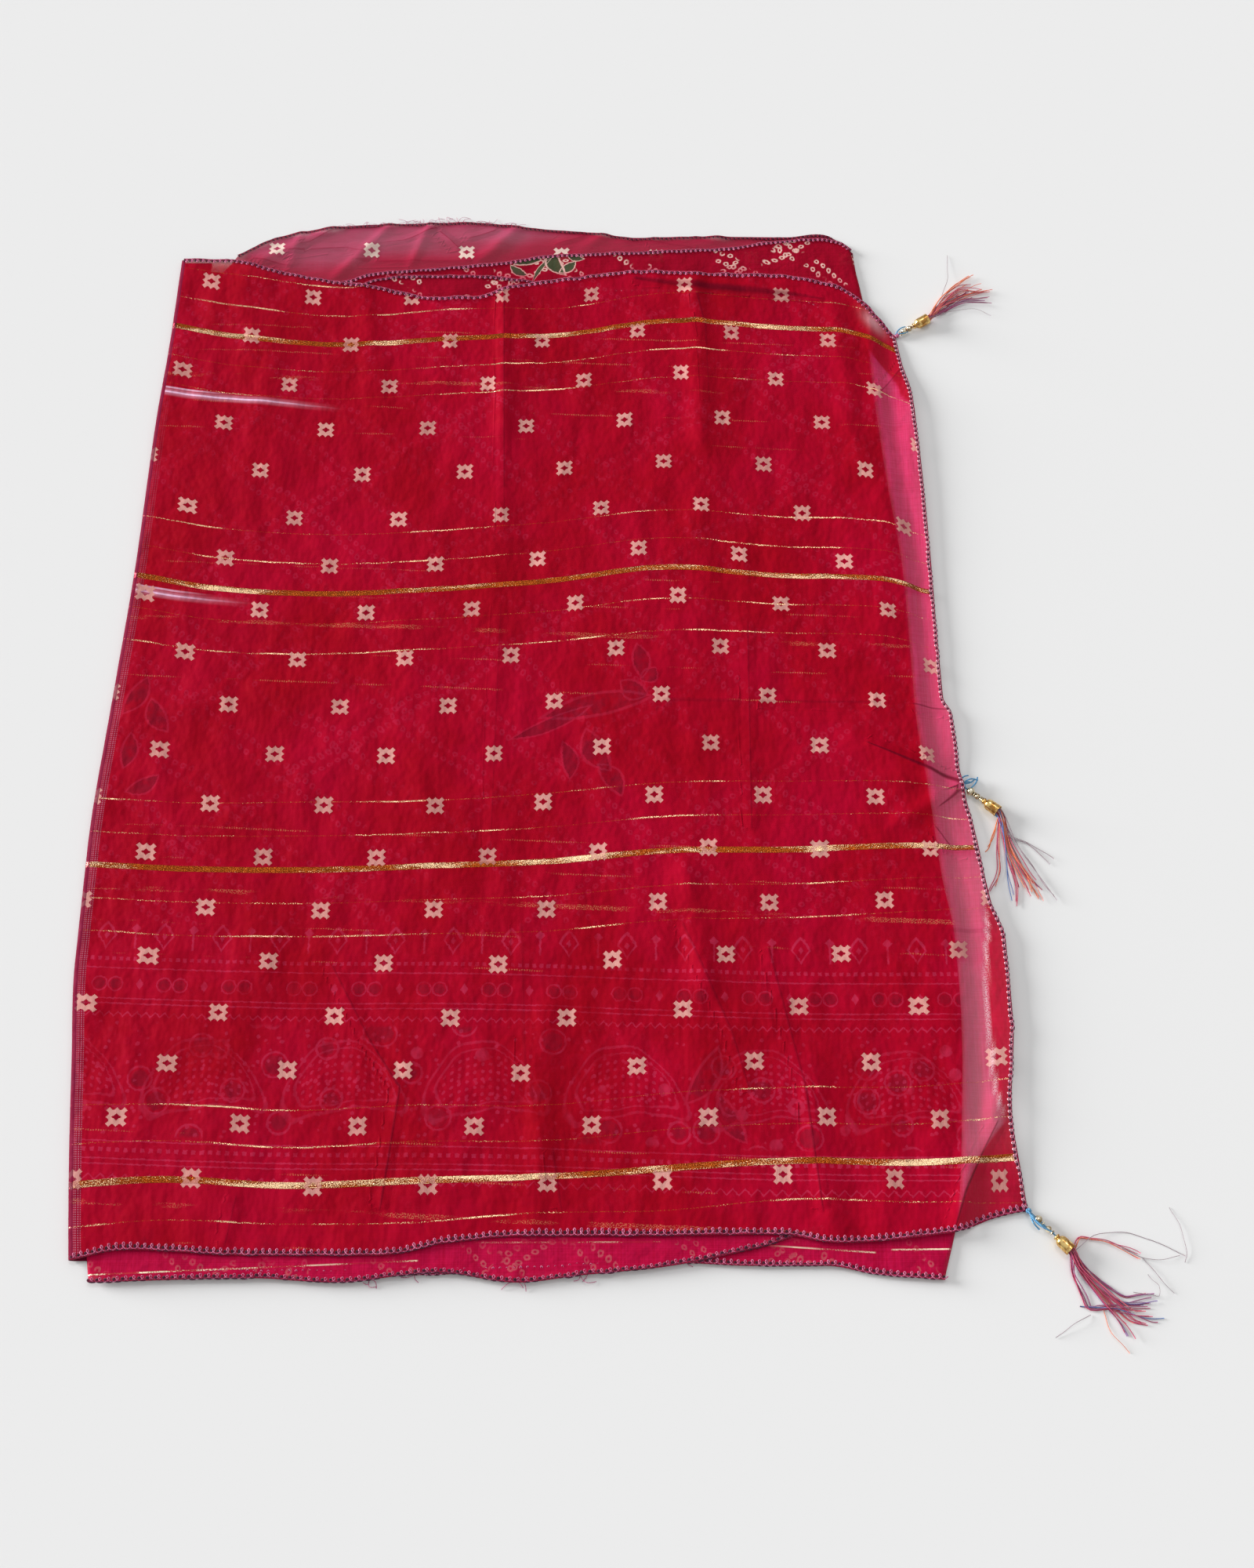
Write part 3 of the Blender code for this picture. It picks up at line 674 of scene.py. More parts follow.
# A row for each leaf: middle, angle, half length, half width, bend
OPEN_LEAVES = (
    ((-63, 501), -68, 15, 6.0, 0.9), ((-88, 503), 12, 12, 4.6, -0.5), ((-52, 496), 40, 9, 4.0, 0.3),
    ((-76, 494), 58, 15, 1.8, -1.2), ((-96, 492), -35, 9, 3.4, 0.5), ((-46, 507), -20, 8, 3.0, 0.6),
)
COVERED_LEAVES = (
    ((11, 106), 98, 15, 6.5, 0.2), ((18, 93), 40, 8, 6.0, 0.4), ((5, 80), 150, 12, 8.0, -0.3),
    ((-24, 66), 192, 44, 9.0, 0.25), ((-60, 50), 205, 34, 5.0, -0.3), ((-25, 26), -62, 20, 9.0, 0.4),
    ((-12, 2), -55, 16, 7.0, -0.4), ((-46, 18), 100, 16, 6.0, 0.5),
    ((-392, 74), 62, 18, 7.0, 0.3), ((-374, 56), 118, 16, 7.0, -0.4), ((-394, 26), 84, 15, 6.0, 0.3),
    ((-380, -4), 30, 14, 6.0, 0.4), ((58, -240), 60, 24, 8.0, 0.5), ((76, -272), 118, 20, 7.0, -0.4),
)


def leaves(x, y, table):
    """Fills and outlines of all the leaves in a table."""
    fills, outlines = zip(*(leaf(x, y, *row) for row in table))
    return highest(fills), highest(outlines)


# %% The printed border
BORDER_TOP, BORDER_FOOT = -121.0, -344.0
BORDER_LINES = (-163.0, -187.0, -191.0, -296.0, -309.0, -313.0)


def border(finish, x, y):
    """Masks of pale and dark ink, in bands at set distances from the near hem."""
    y = y + x * 0.022 + (x / 60.0).sine() * 1.2
    lines = highest((y - at).size().rise(0.75, 0.3) for at in BORDER_LINES)

    def squares(pitch, at, half):
        return ((x / pitch).from_whole().size() * pitch).most((y - at).size()).rise(half + 0.5, half)

    def zigzag(pitch, at):
        return (y - at - (x / pitch).from_whole().size() * pitch).size().rise(1.0, 0.4)

    pale = lines.most(squares(5.4, -155.5, 1.2)).most(squares(6.2, -302.5, 1.3))
    pale = pale.most(zigzag(7.0, -201.0)).most(zigzag(9.0, -325.0))
    # buds on stems, every 44 mm, and small posts between them
    bud_x = (x / 44.0).from_whole() * 44.0
    bud_y = y + 137.0
    bud = bud_x.size() * (1.25 - (bud_y + 6.0) * 0.04) + bud_y.size() * 0.7
    pale = pale.most((bud - 7.0).size().rise(1.3, 0.5)).most(bud.rise(2.4, 1.6))
    post_x = (x / 44.0 + 0.5).from_whole() * 44.0
    pale = pale.most(post_x.size().rise(1.0, 0.5) * (y + 139.0).size().rise(9.0, 8.0))
    pale = pale.most((post_x.size() + (y + 131.0).size()).rise(4.2, 3.4))
    # pairs of dark discs with a pale rim, every 49 mm
    disc_x = (x / 49.0).from_whole().size() * 49.0 - 6.0
    disc = (disc_x * disc_x + (y + 175.5) * (y + 175.5)).root()
    dark = disc.rise(4.6, 3.6)
    pale = pale.most((disc - 5.4).size().rise(0.8, 0.3) * 0.8)
    star_x = (x / 49.0 + 0.5).from_whole() * 49.0
    pale = pale.most((star_x.size() * 1.6 + (y + 175.5).size()).rise(5.0, 4.2))
    # bent drops with a double outline, every 104 mm
    drop_x = (x / 104.0).from_whole() * 104.0
    drop_y = y + 247.0 + drop_x * drop_x * 0.011 - 5.0
    wide = drop_x / 46.0
    high = drop_y / (26.0 - drop_x * 0.16)
    drop = (wide * wide + high * high).root() + (drop_x / 5.0).sine() * (drop_y / 5.0).sine() * 0.04
    drops = (drop - 1.0).size().rise(0.050, 0.020).most((drop - 0.80).size().rise(0.035, 0.012))
    pale = pale.most(drops * 0.6)
    petals = (drop_x * 0.55).sine() * (drop_y * 0.55).sine()
    pale = pale.most(petals.size().rise(0.66, 0.82) * drop.rise(0.76, 0.70) * 0.8)
    # sprinkled dots and dark spots over the drops
    band = (y + 248.0).size().rise(45.0, 41.0)
    sprinkle = finish.cells(finish.vector(x / 7.5, y / 7.5)).rise(0.24, 0.17)
    pale = pale.most(sprinkle * band * 0.8)
    spots = finish.cells(finish.vector(x / 31.0, y / 31.0 + 7.0))
    dark = dark.most(spots.rise(0.27, 0.20) * band)
    pale = pale.most((spots - 0.31).size().rise(0.035, 0.015) * band * 0.8)
    inside = y.rise(BORDER_TOP + 3.0, BORDER_TOP) * y.rise(BORDER_FOOT - 2.0, BORDER_FOOT)
    return pale * inside, dark * inside


def shaken(finish, x, y, reach):
    """The place, moved a little by noise, because ink spreads along the threads."""
    shake = (finish.noise(finish.vector(x * 0.42, y * 0.42), detail=2.0) - 0.5) * reach
    return x + shake, y + shake


def print_masks(finish, x, y, table):
    """The masks of the whole print: the border's pale ink, the rings, the leaves' outlines
    and fills, and the border's dark ink."""
    x, y = shaken(finish, x, y, 2.2)
    pale_border, dark_border = border(finish, x, y)
    fills, outlines = leaves(x, y, table)
    open_ground = (1 - fills.most(outlines)) * y.rise(BORDER_TOP, BORDER_TOP + 3.0)
    rings = ring_trails(finish, x, y) * open_ground
    return pale_border, rings, outlines, fills, dark_border


def open_print(finish, x, y, table):
    """Pale and dark ink of the part that lies in the open, which has no border."""
    x, y = shaken(finish, x, y, 1.6)
    fills, outlines = leaves(x, y, table)
    kept = finish.noise(finish.vector(x * 0.05, y * 0.05, 8.0), detail=1.0).rise(0.43, 0.49)
    rings = ring_trails(finish, x, y) * (1 - fills.most(outlines)) * kept
    return rings.most(outlines), fills


# %% [markdown]
# ## The finish of the top stretch
# The top stretch is dyed crimson and so thin that the floor glows through it where it lies
# alone, and there a paler pink is also painted in for that glow. Cream motifs are printed on it:
# a square with a pointed lobe at each corner and a small one in the middle of each side, and a
# hole in the middle. Metallic yarn runs across in groups of five stripes, a wide one between two
# thin ones on each side. Where it glints is painted into its colour, bright pale gold where a
# slow noise is high and dark bronze elsewhere, and the yarn of the leaf below shows as faint dotted
# lines.

# %% Crimson cloth
STRIPE_TILT = 0.0512                 # rows that a stripe rises in each column
WIDE_STRIPES = (1.866, 7.496, 13.145, 18.881)
THIN_OFFSETS = (0.64, 1.28)
LOWER_YARN = (365.0, 128.0, -107.0, -350.0)   # stripes of the leaf below, mm along y
LOWER_OFFSETS = (26.5, 53.0)
# The two satin lines by the left fold are a painted sheen: a highlight mixed into the colour.
STREAK_FROM = -400.0                 # x of the left fold, where the satin streaks start
STREAKS = ((366.0, -238.0), (171.0, -300.0))  # y at the fold and the x that each ends at


def weave_height(x, y, pitch):
    """Plain weave: the product of two sines, one for each thread, x and y in mm."""
    turn = 2 * math.pi / pitch
    return (x * turn).sine() * (y * turn).sine()


def weave_place(finish):
    """The place in millimetres, from the piece's own map, and two noises of it that are
    drawn out along the weft and along the warp."""
    x, y = finish.uv("weave")
    x, y = x * 1000, y * 1000
    slub = finish.noise(finish.vector(x * 0.02, y * 1.3), detail=1.0)
    warp = finish.noise(finish.vector(x * 1.1, y * 0.015), detail=1.0)
    return x, y, slub, warp


def crease_shade_and_ridge(finish, soft, reach):
    """The dark line of the nearest pressed crease, which paints the shade in it, and the ridge that
    it raises: both fall with the distance from it, the line within its half width and the ridge
    within a reach."""
    off, depth = finish.attribute("crease_off").size(), finish.attribute("crease_depth")
    line = depth * (off / finish.attribute("crease_half")).rise(1.0, soft)
    return line, (1 - off / reach).most(0.0) * depth


def motif_masks(along, across):
    """1 on a motif and 1 in its hole, from millimetres to its middle. The coordinates are
    stepped first, so that its edge is jagged like the weave."""
    step = 0.62
    ax, ay = ((along / step).whole() * step).size(), ((across / step).whole() * step).size()
    square = ax.most(ay).below(5.0)
    corner = ((ax - 4.9).size() + (ay - 4.9).size()).below(2.2)
    side = ((ax.most(ay) - 5.3).size() + ax.least(ay)).below(1.9)
    hole = ax + ay * 1.15
    return square.most(corner).most(side) * (1 - hole.below(3.2)), hole


def stripe_distance(place, middles):
    """The distance to the nearest of the stripes' middles."""
    nearest = (place - middles[0]).size()
    for middle in middles[1:]:
        nearest = nearest.least((place - middle).size())
    return nearest


# %% Motifs of the top stretch
LATTICE_ROWS = (0.4, 19.5)           # no motif stands outside these rows


def placed_motifs(finish, column, row, x):
    """Masks of the motif and of the darker rim round it, and the ink's cream. Each row of a
    half-drop lattice starts half a column further on, so half the row is taken off the
    column. What rounding then leaves over is the way to the nearest motif's middle."""
    nearest_row = row.whole()
    in_column = column - nearest_row * 0.5 + 0.5
    nearest_column = in_column.whole()
    rows_off = row - nearest_row
    along = (in_column - nearest_column) * COLUMN_PITCH + rows_off * finish.attribute("lean")
    across = rows_off * ROW_PITCH
    motif, hole = motif_masks(along, across)
    first, last = LATTICE_ROWS
    motif = motif * row.rise(first, first + 0.1) * nearest_row.below(last)
    halo = (along.size().most(across.size())).rise(8.2, 5.8) * 0.4
    rim = (hole.rise(3.3, 2.6) + halo).least(1.0)
    luck = finish.by_chance(finish.vector(nearest_column, nearest_row))
    ribs = (x * (2 * math.pi / 1.25)).sine() * 0.5 + 0.5
    cream = finish.mix(luck * 0.7 + ribs * 0.3, (0.54, 0.235, 0.21), (0.72, 0.36, 0.315))
    return motif, rim, cream


# %% [markdown]
# The stripes could be strips of mesh, but they are woven in and a tenth of a millimetre thick.
# So each is a distance in rows of the lattice, which bends with the cloth. Slow noise decides
# where a glint is painted into the yarn's colour, and fast noise breaks it into stitches.


# %% Metallic stripes of the top stretch
def metallic_stripes(finish, column, row, x, y):
    """The yarn's mask and its colour with glints painted in, the distance to the wide stripes, the
    grain of the yarn, and a mask of the stripes of the leaf below, which shine through in dots."""
    stripe_row = row + (column - 4.0) * STRIPE_TILT
    ticks = (x * (2 * math.pi / 1.5) + stripe_row * 40.0).sine()
    nearest = stripe_distance(stripe_row, WIDE_STRIPES)
    wobble = finish.noise(finish.vector(x * 0.30, stripe_row * 30), detail=1.0) - 0.5
    edge = nearest + wobble * 0.012 + ticks * 0.0030
    wide = edge.rise(0.058, 0.050)
    slow = finish.vector(x * 0.0125, stripe_row * 3.1, 3.0)
    # Painted glints: where the slow noise is high the yarn is painted bright pale gold, elsewhere
    # dark bronze, and the thin stripes mostly show only there.
    patches = finish.noise(slow, detail=4.0, roughness=0.6)
    sparkle = finish.noise(finish.vector(x * 1.1, stripe_row * 55), detail=0.0)
    painted_glint = (patches + (sparkle - 0.5) * 0.34).rise(0.52, 0.63)
    faint = (patches + (sparkle - 0.5) * 1.3).rise(0.42, 0.60)
    reach = painted_glint * 0.006 + 0.0070
    thin = highest(((edge - offset).size() / reach).rise(1.3, 0.7) for offset in THIN_OFFSETS)
    thin = thin * (0.08 + faint * 0.42 + painted_glint * faint * 0.50)
    bronze = finish.mix(sparkle.rise(0.3, 0.7), (0.20, 0.022, 0.003), (0.46, 0.11, 0.016))
    gold = finish.mix(painted_glint * (0.72 + 0.28 * ticks.size()), bronze, (1.0, 0.70, 0.41))

    lower = stripe_distance(y + x * 0.045 + wobble * 2.0, LOWER_YARN)
    dots = (x * (2 * math.pi / 1.9)).sine().rise(-0.5, 0.3)
    ghost = lower.rise(2.2, 1.6) * sparkle.rise(0.50, 0.62)
    for offset in LOWER_OFFSETS:
        ghost = ghost.most((lower - offset).size().rise(0.85, 0.35) * dots)
    weak = finish.noise(finish.vector(x * 0.016, y * 0.09, 9.0), detail=3.0).rise(0.50, 0.62)
    return wide.most(thin), gold, nearest, sparkle, ghost * weak * sparkle.rise(0.35, 0.55) * 0.42


# %% [markdown]
# The dye is uneven in four sizes: single threads both ways, a fine mottle and slow clouds. The
# print below only shows where the two cloths touch, so the same noises also fade it.


# %% Dyed ground of the top stretch
def dyed_ground(finish, x, y, slub, warp, alone, doubled):
    """The ground's colour with the print below seen through it, and a paler pink painted in
    for the floor's glow where the cloth lies alone; and its tone around 0.
    """
    cloud = finish.noise(finish.vector(x * 0.010, y * 0.008), detail=3.0)
    fine = finish.noise(finish.vector(x * 0.11, y * 0.10, 5.0), detail=3.0)
    tone = (slub - 0.5) * 0.30 + (warp - 0.5) * 0.16 + (cloud - 0.5) * 0.65 + (fine - 0.5) * 0.35
    dark = finish.mix(cloud.rise(0.3, 0.7), (0.345, 0.0002, 0.007), (0.385, 0.0003, 0.012))
    light = finish.mix(cloud.rise(0.3, 0.7), (0.44, 0.0004, 0.018), (0.50, 0.0008, 0.030))
    ground = finish.mix((tone * 1.1 + 0.5).rise(0.0, 1.0), dark, light)

    pale_border, rings, outlines, fills, dark_border = print_masks(finish, x, y, COVERED_LEAVES)
    show = (fine + cloud - 0.5).rise(0.25, 0.65)
    seen_pale = highest((pale_border * (0.15 + 0.50 * show), rings * show * show * 0.26,
                         outlines * 0.28))
    seen_dark = (dark_border * (0.2 + 0.4 * show)).most(fills * (0.04 + 0.62 * show))
    ground = finish.mix(seen_dark * (1 - alone), ground, (0.20, 0.006, 0.022))
    ground = finish.mix(seen_pale * 0.55 * (1 - alone), ground, (0.66, 0.055, 0.15))

    # Where the cloth lies alone, a paler pink is painted in for the floor's light glowing through it,
    # on top of the cloth's real see-through; the threads vary it.
    threads = (warp + slub - 1.0).rise(-0.5, 0.5)
    pale = finish.mix(threads, (0.58, 0.006, 0.075), (0.72, 0.028, 0.15))
    return finish.mix(alone * (1 - doubled * 0.9), ground, pale), tone


# %% [markdown]
# Along its left fold the cloth has a dense band with dotted columns, and in two places a satin
# sheen, where the stretched weft catches the light, runs in from the fold; it is painted in as a
# pale lilac highlight.


# %% Marks along the left fold
def fold_marks(finish, ground, from_fold, x, y, slub):
    """The ground with the band and the painted sheen on it, and the sheen's mask."""
    dot = (y / 1.7).from_whole().size().rise(0.40, 0.18)
    dot = dot * (from_fold / 1.9).from_whole().size().rise(0.36, 0.14)
    band = from_fold.rise(10.0, 9.2) * from_fold.rise(0.8, 1.6) * y.rise(460.0, -60.0)
    ground = finish.mix(band * 0.45, ground, (0.22, 0.006, 0.035))
    ground = finish.mix(band * dot * 0.60, ground, (0.62, 0.20, 0.30))
    # Painted highlight: a pale lilac satin sheen mixed into the ground along two lines from the fold
    streaks = []
    into = x - STREAK_FROM
    for level, reach_x in STREAKS:
        path = y - level + into * 0.175 - into * into * 0.00035 + (into / 22.0).sine() * 0.8
        beside = (path - 4.5).size().rise(1.3, 0.4) * x.rise(-330.0, -375.0) * 0.7
        line = highest((path.size().rise(1.5, 0.4), beside, path.size().rise(5.0, 1.0) * 0.35))
        streaks.append(line * x.rise(reach_x, reach_x - 90.0))
    painted_sheen = highest(streaks) * from_fold.rise(0.5, 3.0)
    return finish.mix(painted_sheen * (0.65 + 0.35 * slub), ground, (0.84, 0.58, 0.80)), painted_sheen


# %% [markdown]
# The parts are laid over each other in the order in which they hide each other. The weave
# lets light through where the cloth lies alone, but not through ink, metal or a fold.


# %% Put the crimson cloth together
SHEER = 0.18                         # share of the light that passes a single cloth


def crimson_finish():
    finish = Finish("crimson_cloth", {"Specular IOR Level": 0.04})
    column, row = finish.uv("motifs")
    x, y, slub, warp = weave_place(finish)
    alone, doubled = finish.attribute("alone"), finish.attribute("doubled")
    bare, from_fold = finish.attribute("bare"), finish.attribute("from_fold")
    crease, ridge = crease_shade_and_ridge(finish, 0.15, 7.0)
    motif, rim, cream = placed_motifs(finish, column, row, x)
    metal, gold, nearest, sparkle, ghost = metallic_stripes(finish, column, row, x, y)
    ground, tone = dyed_ground(finish, x, y, slub, warp, alone, doubled)
    ground, painted_sheen = fold_marks(finish, ground, from_fold, x, y, slub)

    colour = finish.mix(rim * 0.45, ground, (0.24, 0.001, 0.016))
    colour = finish.mix(motif * (0.84 + 0.16 * warp), colour, cream)
    colour = finish.mix(ghost * (1 - alone) * (1 - motif), colour, (0.85, 0.34, 0.16))
    # painted shade: dark crimson along the pressed creases and in the shadow under the far hem
    colour = finish.mix(crease * (0.90 - 0.25 * motif), colour, (0.12, 0.0004, 0.010))
    colour = finish.mix(metal * (1 - motif * 0.6) * (1 - crease * 0.5), colour, gold)
    frayed = finish.attribute("turn_edge") * sparkle.rise(0.35, 0.6)
    colour = finish.mix(frayed * 0.8, colour, (0.88, 0.60, 0.66))
    # painted glow of the floor through the spot beside the far tassel's knot
    colour = finish.mix(bare * 0.7, colour, (0.80, 0.42, 0.46))
    outline = from_fold.rise(1.9, 0.9)
    colour = finish.mix(outline * 0.85, colour, (0.13, 0.004, 0.030))

    sheer = SHEER + (tone + 0.1) * 0.09 + bare * 0.40 + alone * y.rise(300.0, -330.0) * 0.19
    covered = highest((motif, metal, painted_sheen, doubled * 0.80, crease * 0.8, outline))
    finish.connect(Base_Color=colour, Metallic=metal * (1 - motif), Alpha=1 - sheer * (1 - covered),
                   Roughness=0.62 - metal * 0.34)
    slow = finish.vector(x * 0.034, y * 0.023, 2.0)
    crumple = finish.noise(slow, detail=3.0, roughness=0.55) * 4.4
    raised = nearest.rise(0.062, 0.048) * (0.06 + sparkle * 0.25)
    finish.relief(weave_height(x, y, 0.9) * 0.02 + ridge * 1.4 + crumple + raised, 1.0, MM)
    return finish


crimson = crimson_finish()
print("nodes in the crimson cloth:", len(crimson.tree.nodes))

# %% [markdown]
# ## The finish of the printed half
# The open print is cream and dark green ink on crimson. Under the sheer top stretch it only
# gets red light, so where it is covered its pale ink is drawn in pink. Along its near hem only
# a trace of the print is left, on plain cloth with a thin stripe of metallic yarn.


# %% Printed cloth
# A row for each thin metallic stripe near the hem: x and y at one end, x and y at the other
HEM_YARN = ((-392, -385.0, -150, -374.5), (-110, -361.5, 24, -361.0), (96, -363.0, 178, -368.5),
            (190, -366.5, 232, -366.0))


def printed_finish():
    finish = Finish("printed_cloth", {"Specular IOR Level": 0.04})
    x, y, slub, warp = weave_place(finish)
    covered = finish.attribute("covered")
    cloud = finish.noise(finish.vector(x * 0.012, y * 0.012), detail=3.0)
    sparkle = finish.noise(finish.vector(x * 1.1, y * 1.1), detail=0.0)
    pale, dark = open_print(finish, x, y, OPEN_LEAVES)
    pale = pale * (0.15 + 0.85 * y.rise(-352.0, -334.0))
    threads = (slub * 0.5 + warp * 0.5).rise(0.2, 0.8)
    ground = finish.mix(threads, (0.29, 0.0006, 0.012), (0.38, 0.0015, 0.024))
    ground = finish.mix(cloud.rise(0.3, 0.7) * 0.5, ground, (0.27, 0.0005, 0.014))
    plain = finish.mix(threads, (0.40, 0.0010, 0.030), (0.52, 0.0050, 0.062))
    ground = finish.mix(y.rise(-330.0, -346.0), ground, plain)
    # Where covered, both inks are painted as the red light under the top stretch shows them: the pale
    # ink pink, the green dark red.
    ink = finish.mix(covered, (0.80, 0.50, 0.44), (0.62, 0.030, 0.11))
    green = finish.mix(covered, (0.030, 0.085, 0.040), (0.05, 0.03, 0.03))
    colour = finish.mix(dark * (0.75 + 0.25 * warp), ground, green)
    colour = finish.mix(pale * (0.72 + 0.28 * slub), colour, ink)
    lines = []
    for x0, y0, x1, y1 in HEM_YARN:
        slope = (y1 - y0) / (x1 - x0)
        line = (y - y0 - (x - x0) * slope).size().rise(0.75, 0.35)
        lines.append(line * x.rise(x0 - 1.0, x0 + 1.0) * x.rise(x1 + 1.0, x1 - 1.0))
    # Painted glints on the hem's yarn: bright pale gold where this noise is high, bronze elsewhere.
    painted_glint = (finish.noise(finish.vector(x * 0.03, y * 0.01, 4.0), detail=2.0) + (sparkle - 0.5) * 0.4)
    yarn = highest(lines) * (painted_glint.rise(0.44, 0.56) * 0.85 + 0.15) * (1 - covered)
    colour = finish.mix(yarn, colour, finish.mix(painted_glint.rise(0.42, 0.58), (0.52, 0.15, 0.025),
                                                 (1.0, 0.84, 0.62)))
    finish.connect(Base_Color=colour, Alpha=0.94 + 0.05 * pale.most(dark) + (slub - 0.5) * 0.06,
                   Roughness=0.66 - warp * 0.1 - yarn * 0.3, Metallic=yarn)
    crumple = finish.noise(finish.vector(x * 0.045, y * 0.05, 2.0), detail=3.0)
    finish.relief(weave_height(x, y, 0.9) * 0.02 + crumple * 3.0, 1.0, MM)
    return finish


printed = printed_finish()
print("nodes in the printed cloth:", len(printed.tree.nodes))

# %% [markdown]
# ## The finish of the lowest stretch
# Along the far edge one stretch lies alone on the pale floor, so it reads as a light mauve
# veil at its hem, and darkens towards the printed hems, where it lies double. The shade in its
# creases is painted as thin dark lines. It carries the same cream motifs.


# %% Sheer cloth
BACK_PITCH = 84.0                    # from motif to motif along the far edge, mm


def sheer_finish():
    finish = Finish("sheer_cloth", {"Specular IOR Level": 0.04})
    column, row = finish.uv("motifs")
    x, y, slub, warp = weave_place(finish)
    dense = finish.attribute("dense")
    cloud = finish.noise(finish.vector(x * 0.016, y * 0.055), detail=4.0, roughness=0.6)
    crease, ridge = crease_shade_and_ridge(finish, 0.1, 5.0)
    motif, _ = motif_masks(column.from_whole() * BACK_PITCH, row.from_whole() * ROW_PITCH)
    tone = (slub - 0.5) * 0.4 + (warp - 0.5) * 0.3 + (cloud - 0.5) * 1.3
    thick = (dense + tone * 0.45).rise(0.0, 1.0)
    colour = finish.mix(thick, (0.46, 0.040, 0.12), (0.40, 0.004, 0.040))
    # painted shade along the creases
    colour = finish.mix(crease * 0.8, colour, (0.24, 0.002, 0.022))
    colour = finish.mix(motif * 0.92, colour, (0.82, 0.63, 0.55))
    veil = (0.27 - thick * 0.12) * (1 - crease * 0.8)
    finish.connect(Base_Color=colour, Alpha=1 - veil * (1 - motif), Roughness=0.6 - warp * 0.1)
    finish.relief(weave_height(x, y, 0.9) * 0.02 + ridge * 1.6 + cloud * 2.4, 1.0, MM)
    return finish


sheer = sheer_finish()
print("nodes in the sheer cloth:", len(sheer.tree.nodes))

# %% [markdown]
# ## The top stretch
# It could be a plane with a Cloth modifier, but the hands that folded it decided its shape, not
# gravity. So it is a surface of two parameters: u across the stretch and v along the tassel
# side. At the left it turns round the fold in a half circle and runs on a little underneath,
# where the lowest stretch carries on. Sharp pressed creases are finer than the grid. So each
# point keeps its distance from the nearest crease, which a grid carries exactly, and the shader
# paints the shade in the crease from it as a dark line. The same table paints the shadow under
# the far hem.

# %% Pressed creases
# A row for each: x and y at one end, x and y at the other, half width there, and depth
PRESSED = (
    (-108, 488, -103, 271, 1.5, 1.1, 0.50), (-103, 271, -102, 226, 1.1, 0.8, 0.25),
    (58, 479, 68, 432, 1.8, 1.4, 0.5), (68, 432, 70, 356, 1.4, 1.0, 0.3),
    # These four rows paint the shadow under the overhanging far hem as a dark band, with a low ridge.
    (8, 483, 58, 475, 2.5, 6.5, 0.75), (58, 475, 103, 471, 6.5, 6.5, 0.95),
    (103, 471, 147, 466, 6.5, 3.5, 0.8), (147, 466, 168, 462, 3.5, 1.5, 0.6),
    (-223, -153, -192, -211, 1.4, 1.4, 0.45), (-192, -211, -168, -248, 1.4, 1.7, 0.6),
    (-168, -248, -178, -335, 1.7, 1.3, 0.65),
    (43, -120, 78, -204, 1.9, 1.7, 0.45), (78, -204, 90, -248, 1.7, 1.2, 0.45),
    (108, -140, 132, -248, 1.6, 1.6, 0.5), (132, -248, 141, -335, 1.8, 1.4, 0.7),
    (98, 138, 97, -38, 1.3, 1.1, 0.45), (31, 71, 197, 69, 2.8, 1.5, 0.35),
    (-103, 157, -106, -54, 1.1, 0.9, 0.25), (-54, -297, -48, -335, 2.2, 1.4, 0.45),
    (-81, -120, -76, -227, 3.0, 2.4, 0.3), (-283, -330, -288, -362, 1.6, 1.2, 0.4),
    (262, -1, 192, 32, 3.8, 0.8, 0.95), (260, -8, 246, -20, 2.4, 0.8, 0.8),
    (230, 67, 258, 62, 1.2, 0.8, 0.7), (241, -40, 253, -57, 1.0, 1.0, 0.7),
    (253, -57, 273, -58, 1.0, 1.0, 0.6), (248, -124, 272, -124, 3.2, 3.2, 0.3),
    (271, -275, 260, -295, 0.8, 1.1, 0.7), (260, -295, 245, -325, 1.1, 1.4, 0.85),
    (245, -325, 235, -354, 1.4, 1.0, 0.8), (240, 395, 218, 366, 1.2, 0.8, 0.6),
)
BACK_PRESSED = (
    (-170, 541, -196, 528, 1.0, 0.7, 0.8), (-170, 541, -150, 520, 0.8, 0.6, 0.7),
    (-196, 528, -216, 524, 0.7, 0.5, 0.6), (-262, 538, -286, 522, 0.9, 0.6, 0.6),
    (-300, 516, -250, 520, 1.2, 0.8, 0.6), (-250, 520, -222, 511, 0.8, 0.8, 0.5),
    (-118, 538, -140, 529, 0.9, 0.6, 0.7), (-40, 532, -62, 524, 0.8, 0.5, 0.5),
    (-330, 508, -300, 500, 1.2, 0.8, 0.6), (20, 527, 60, 519, 0.8, 0.6, 0.4),
    (-236, 505, -140, 505, 1.6, 1.2, 0.4), (168, 452, 171, 528, 1.1, 1.1, 0.8),
)
CREASE_REACH = 9.0


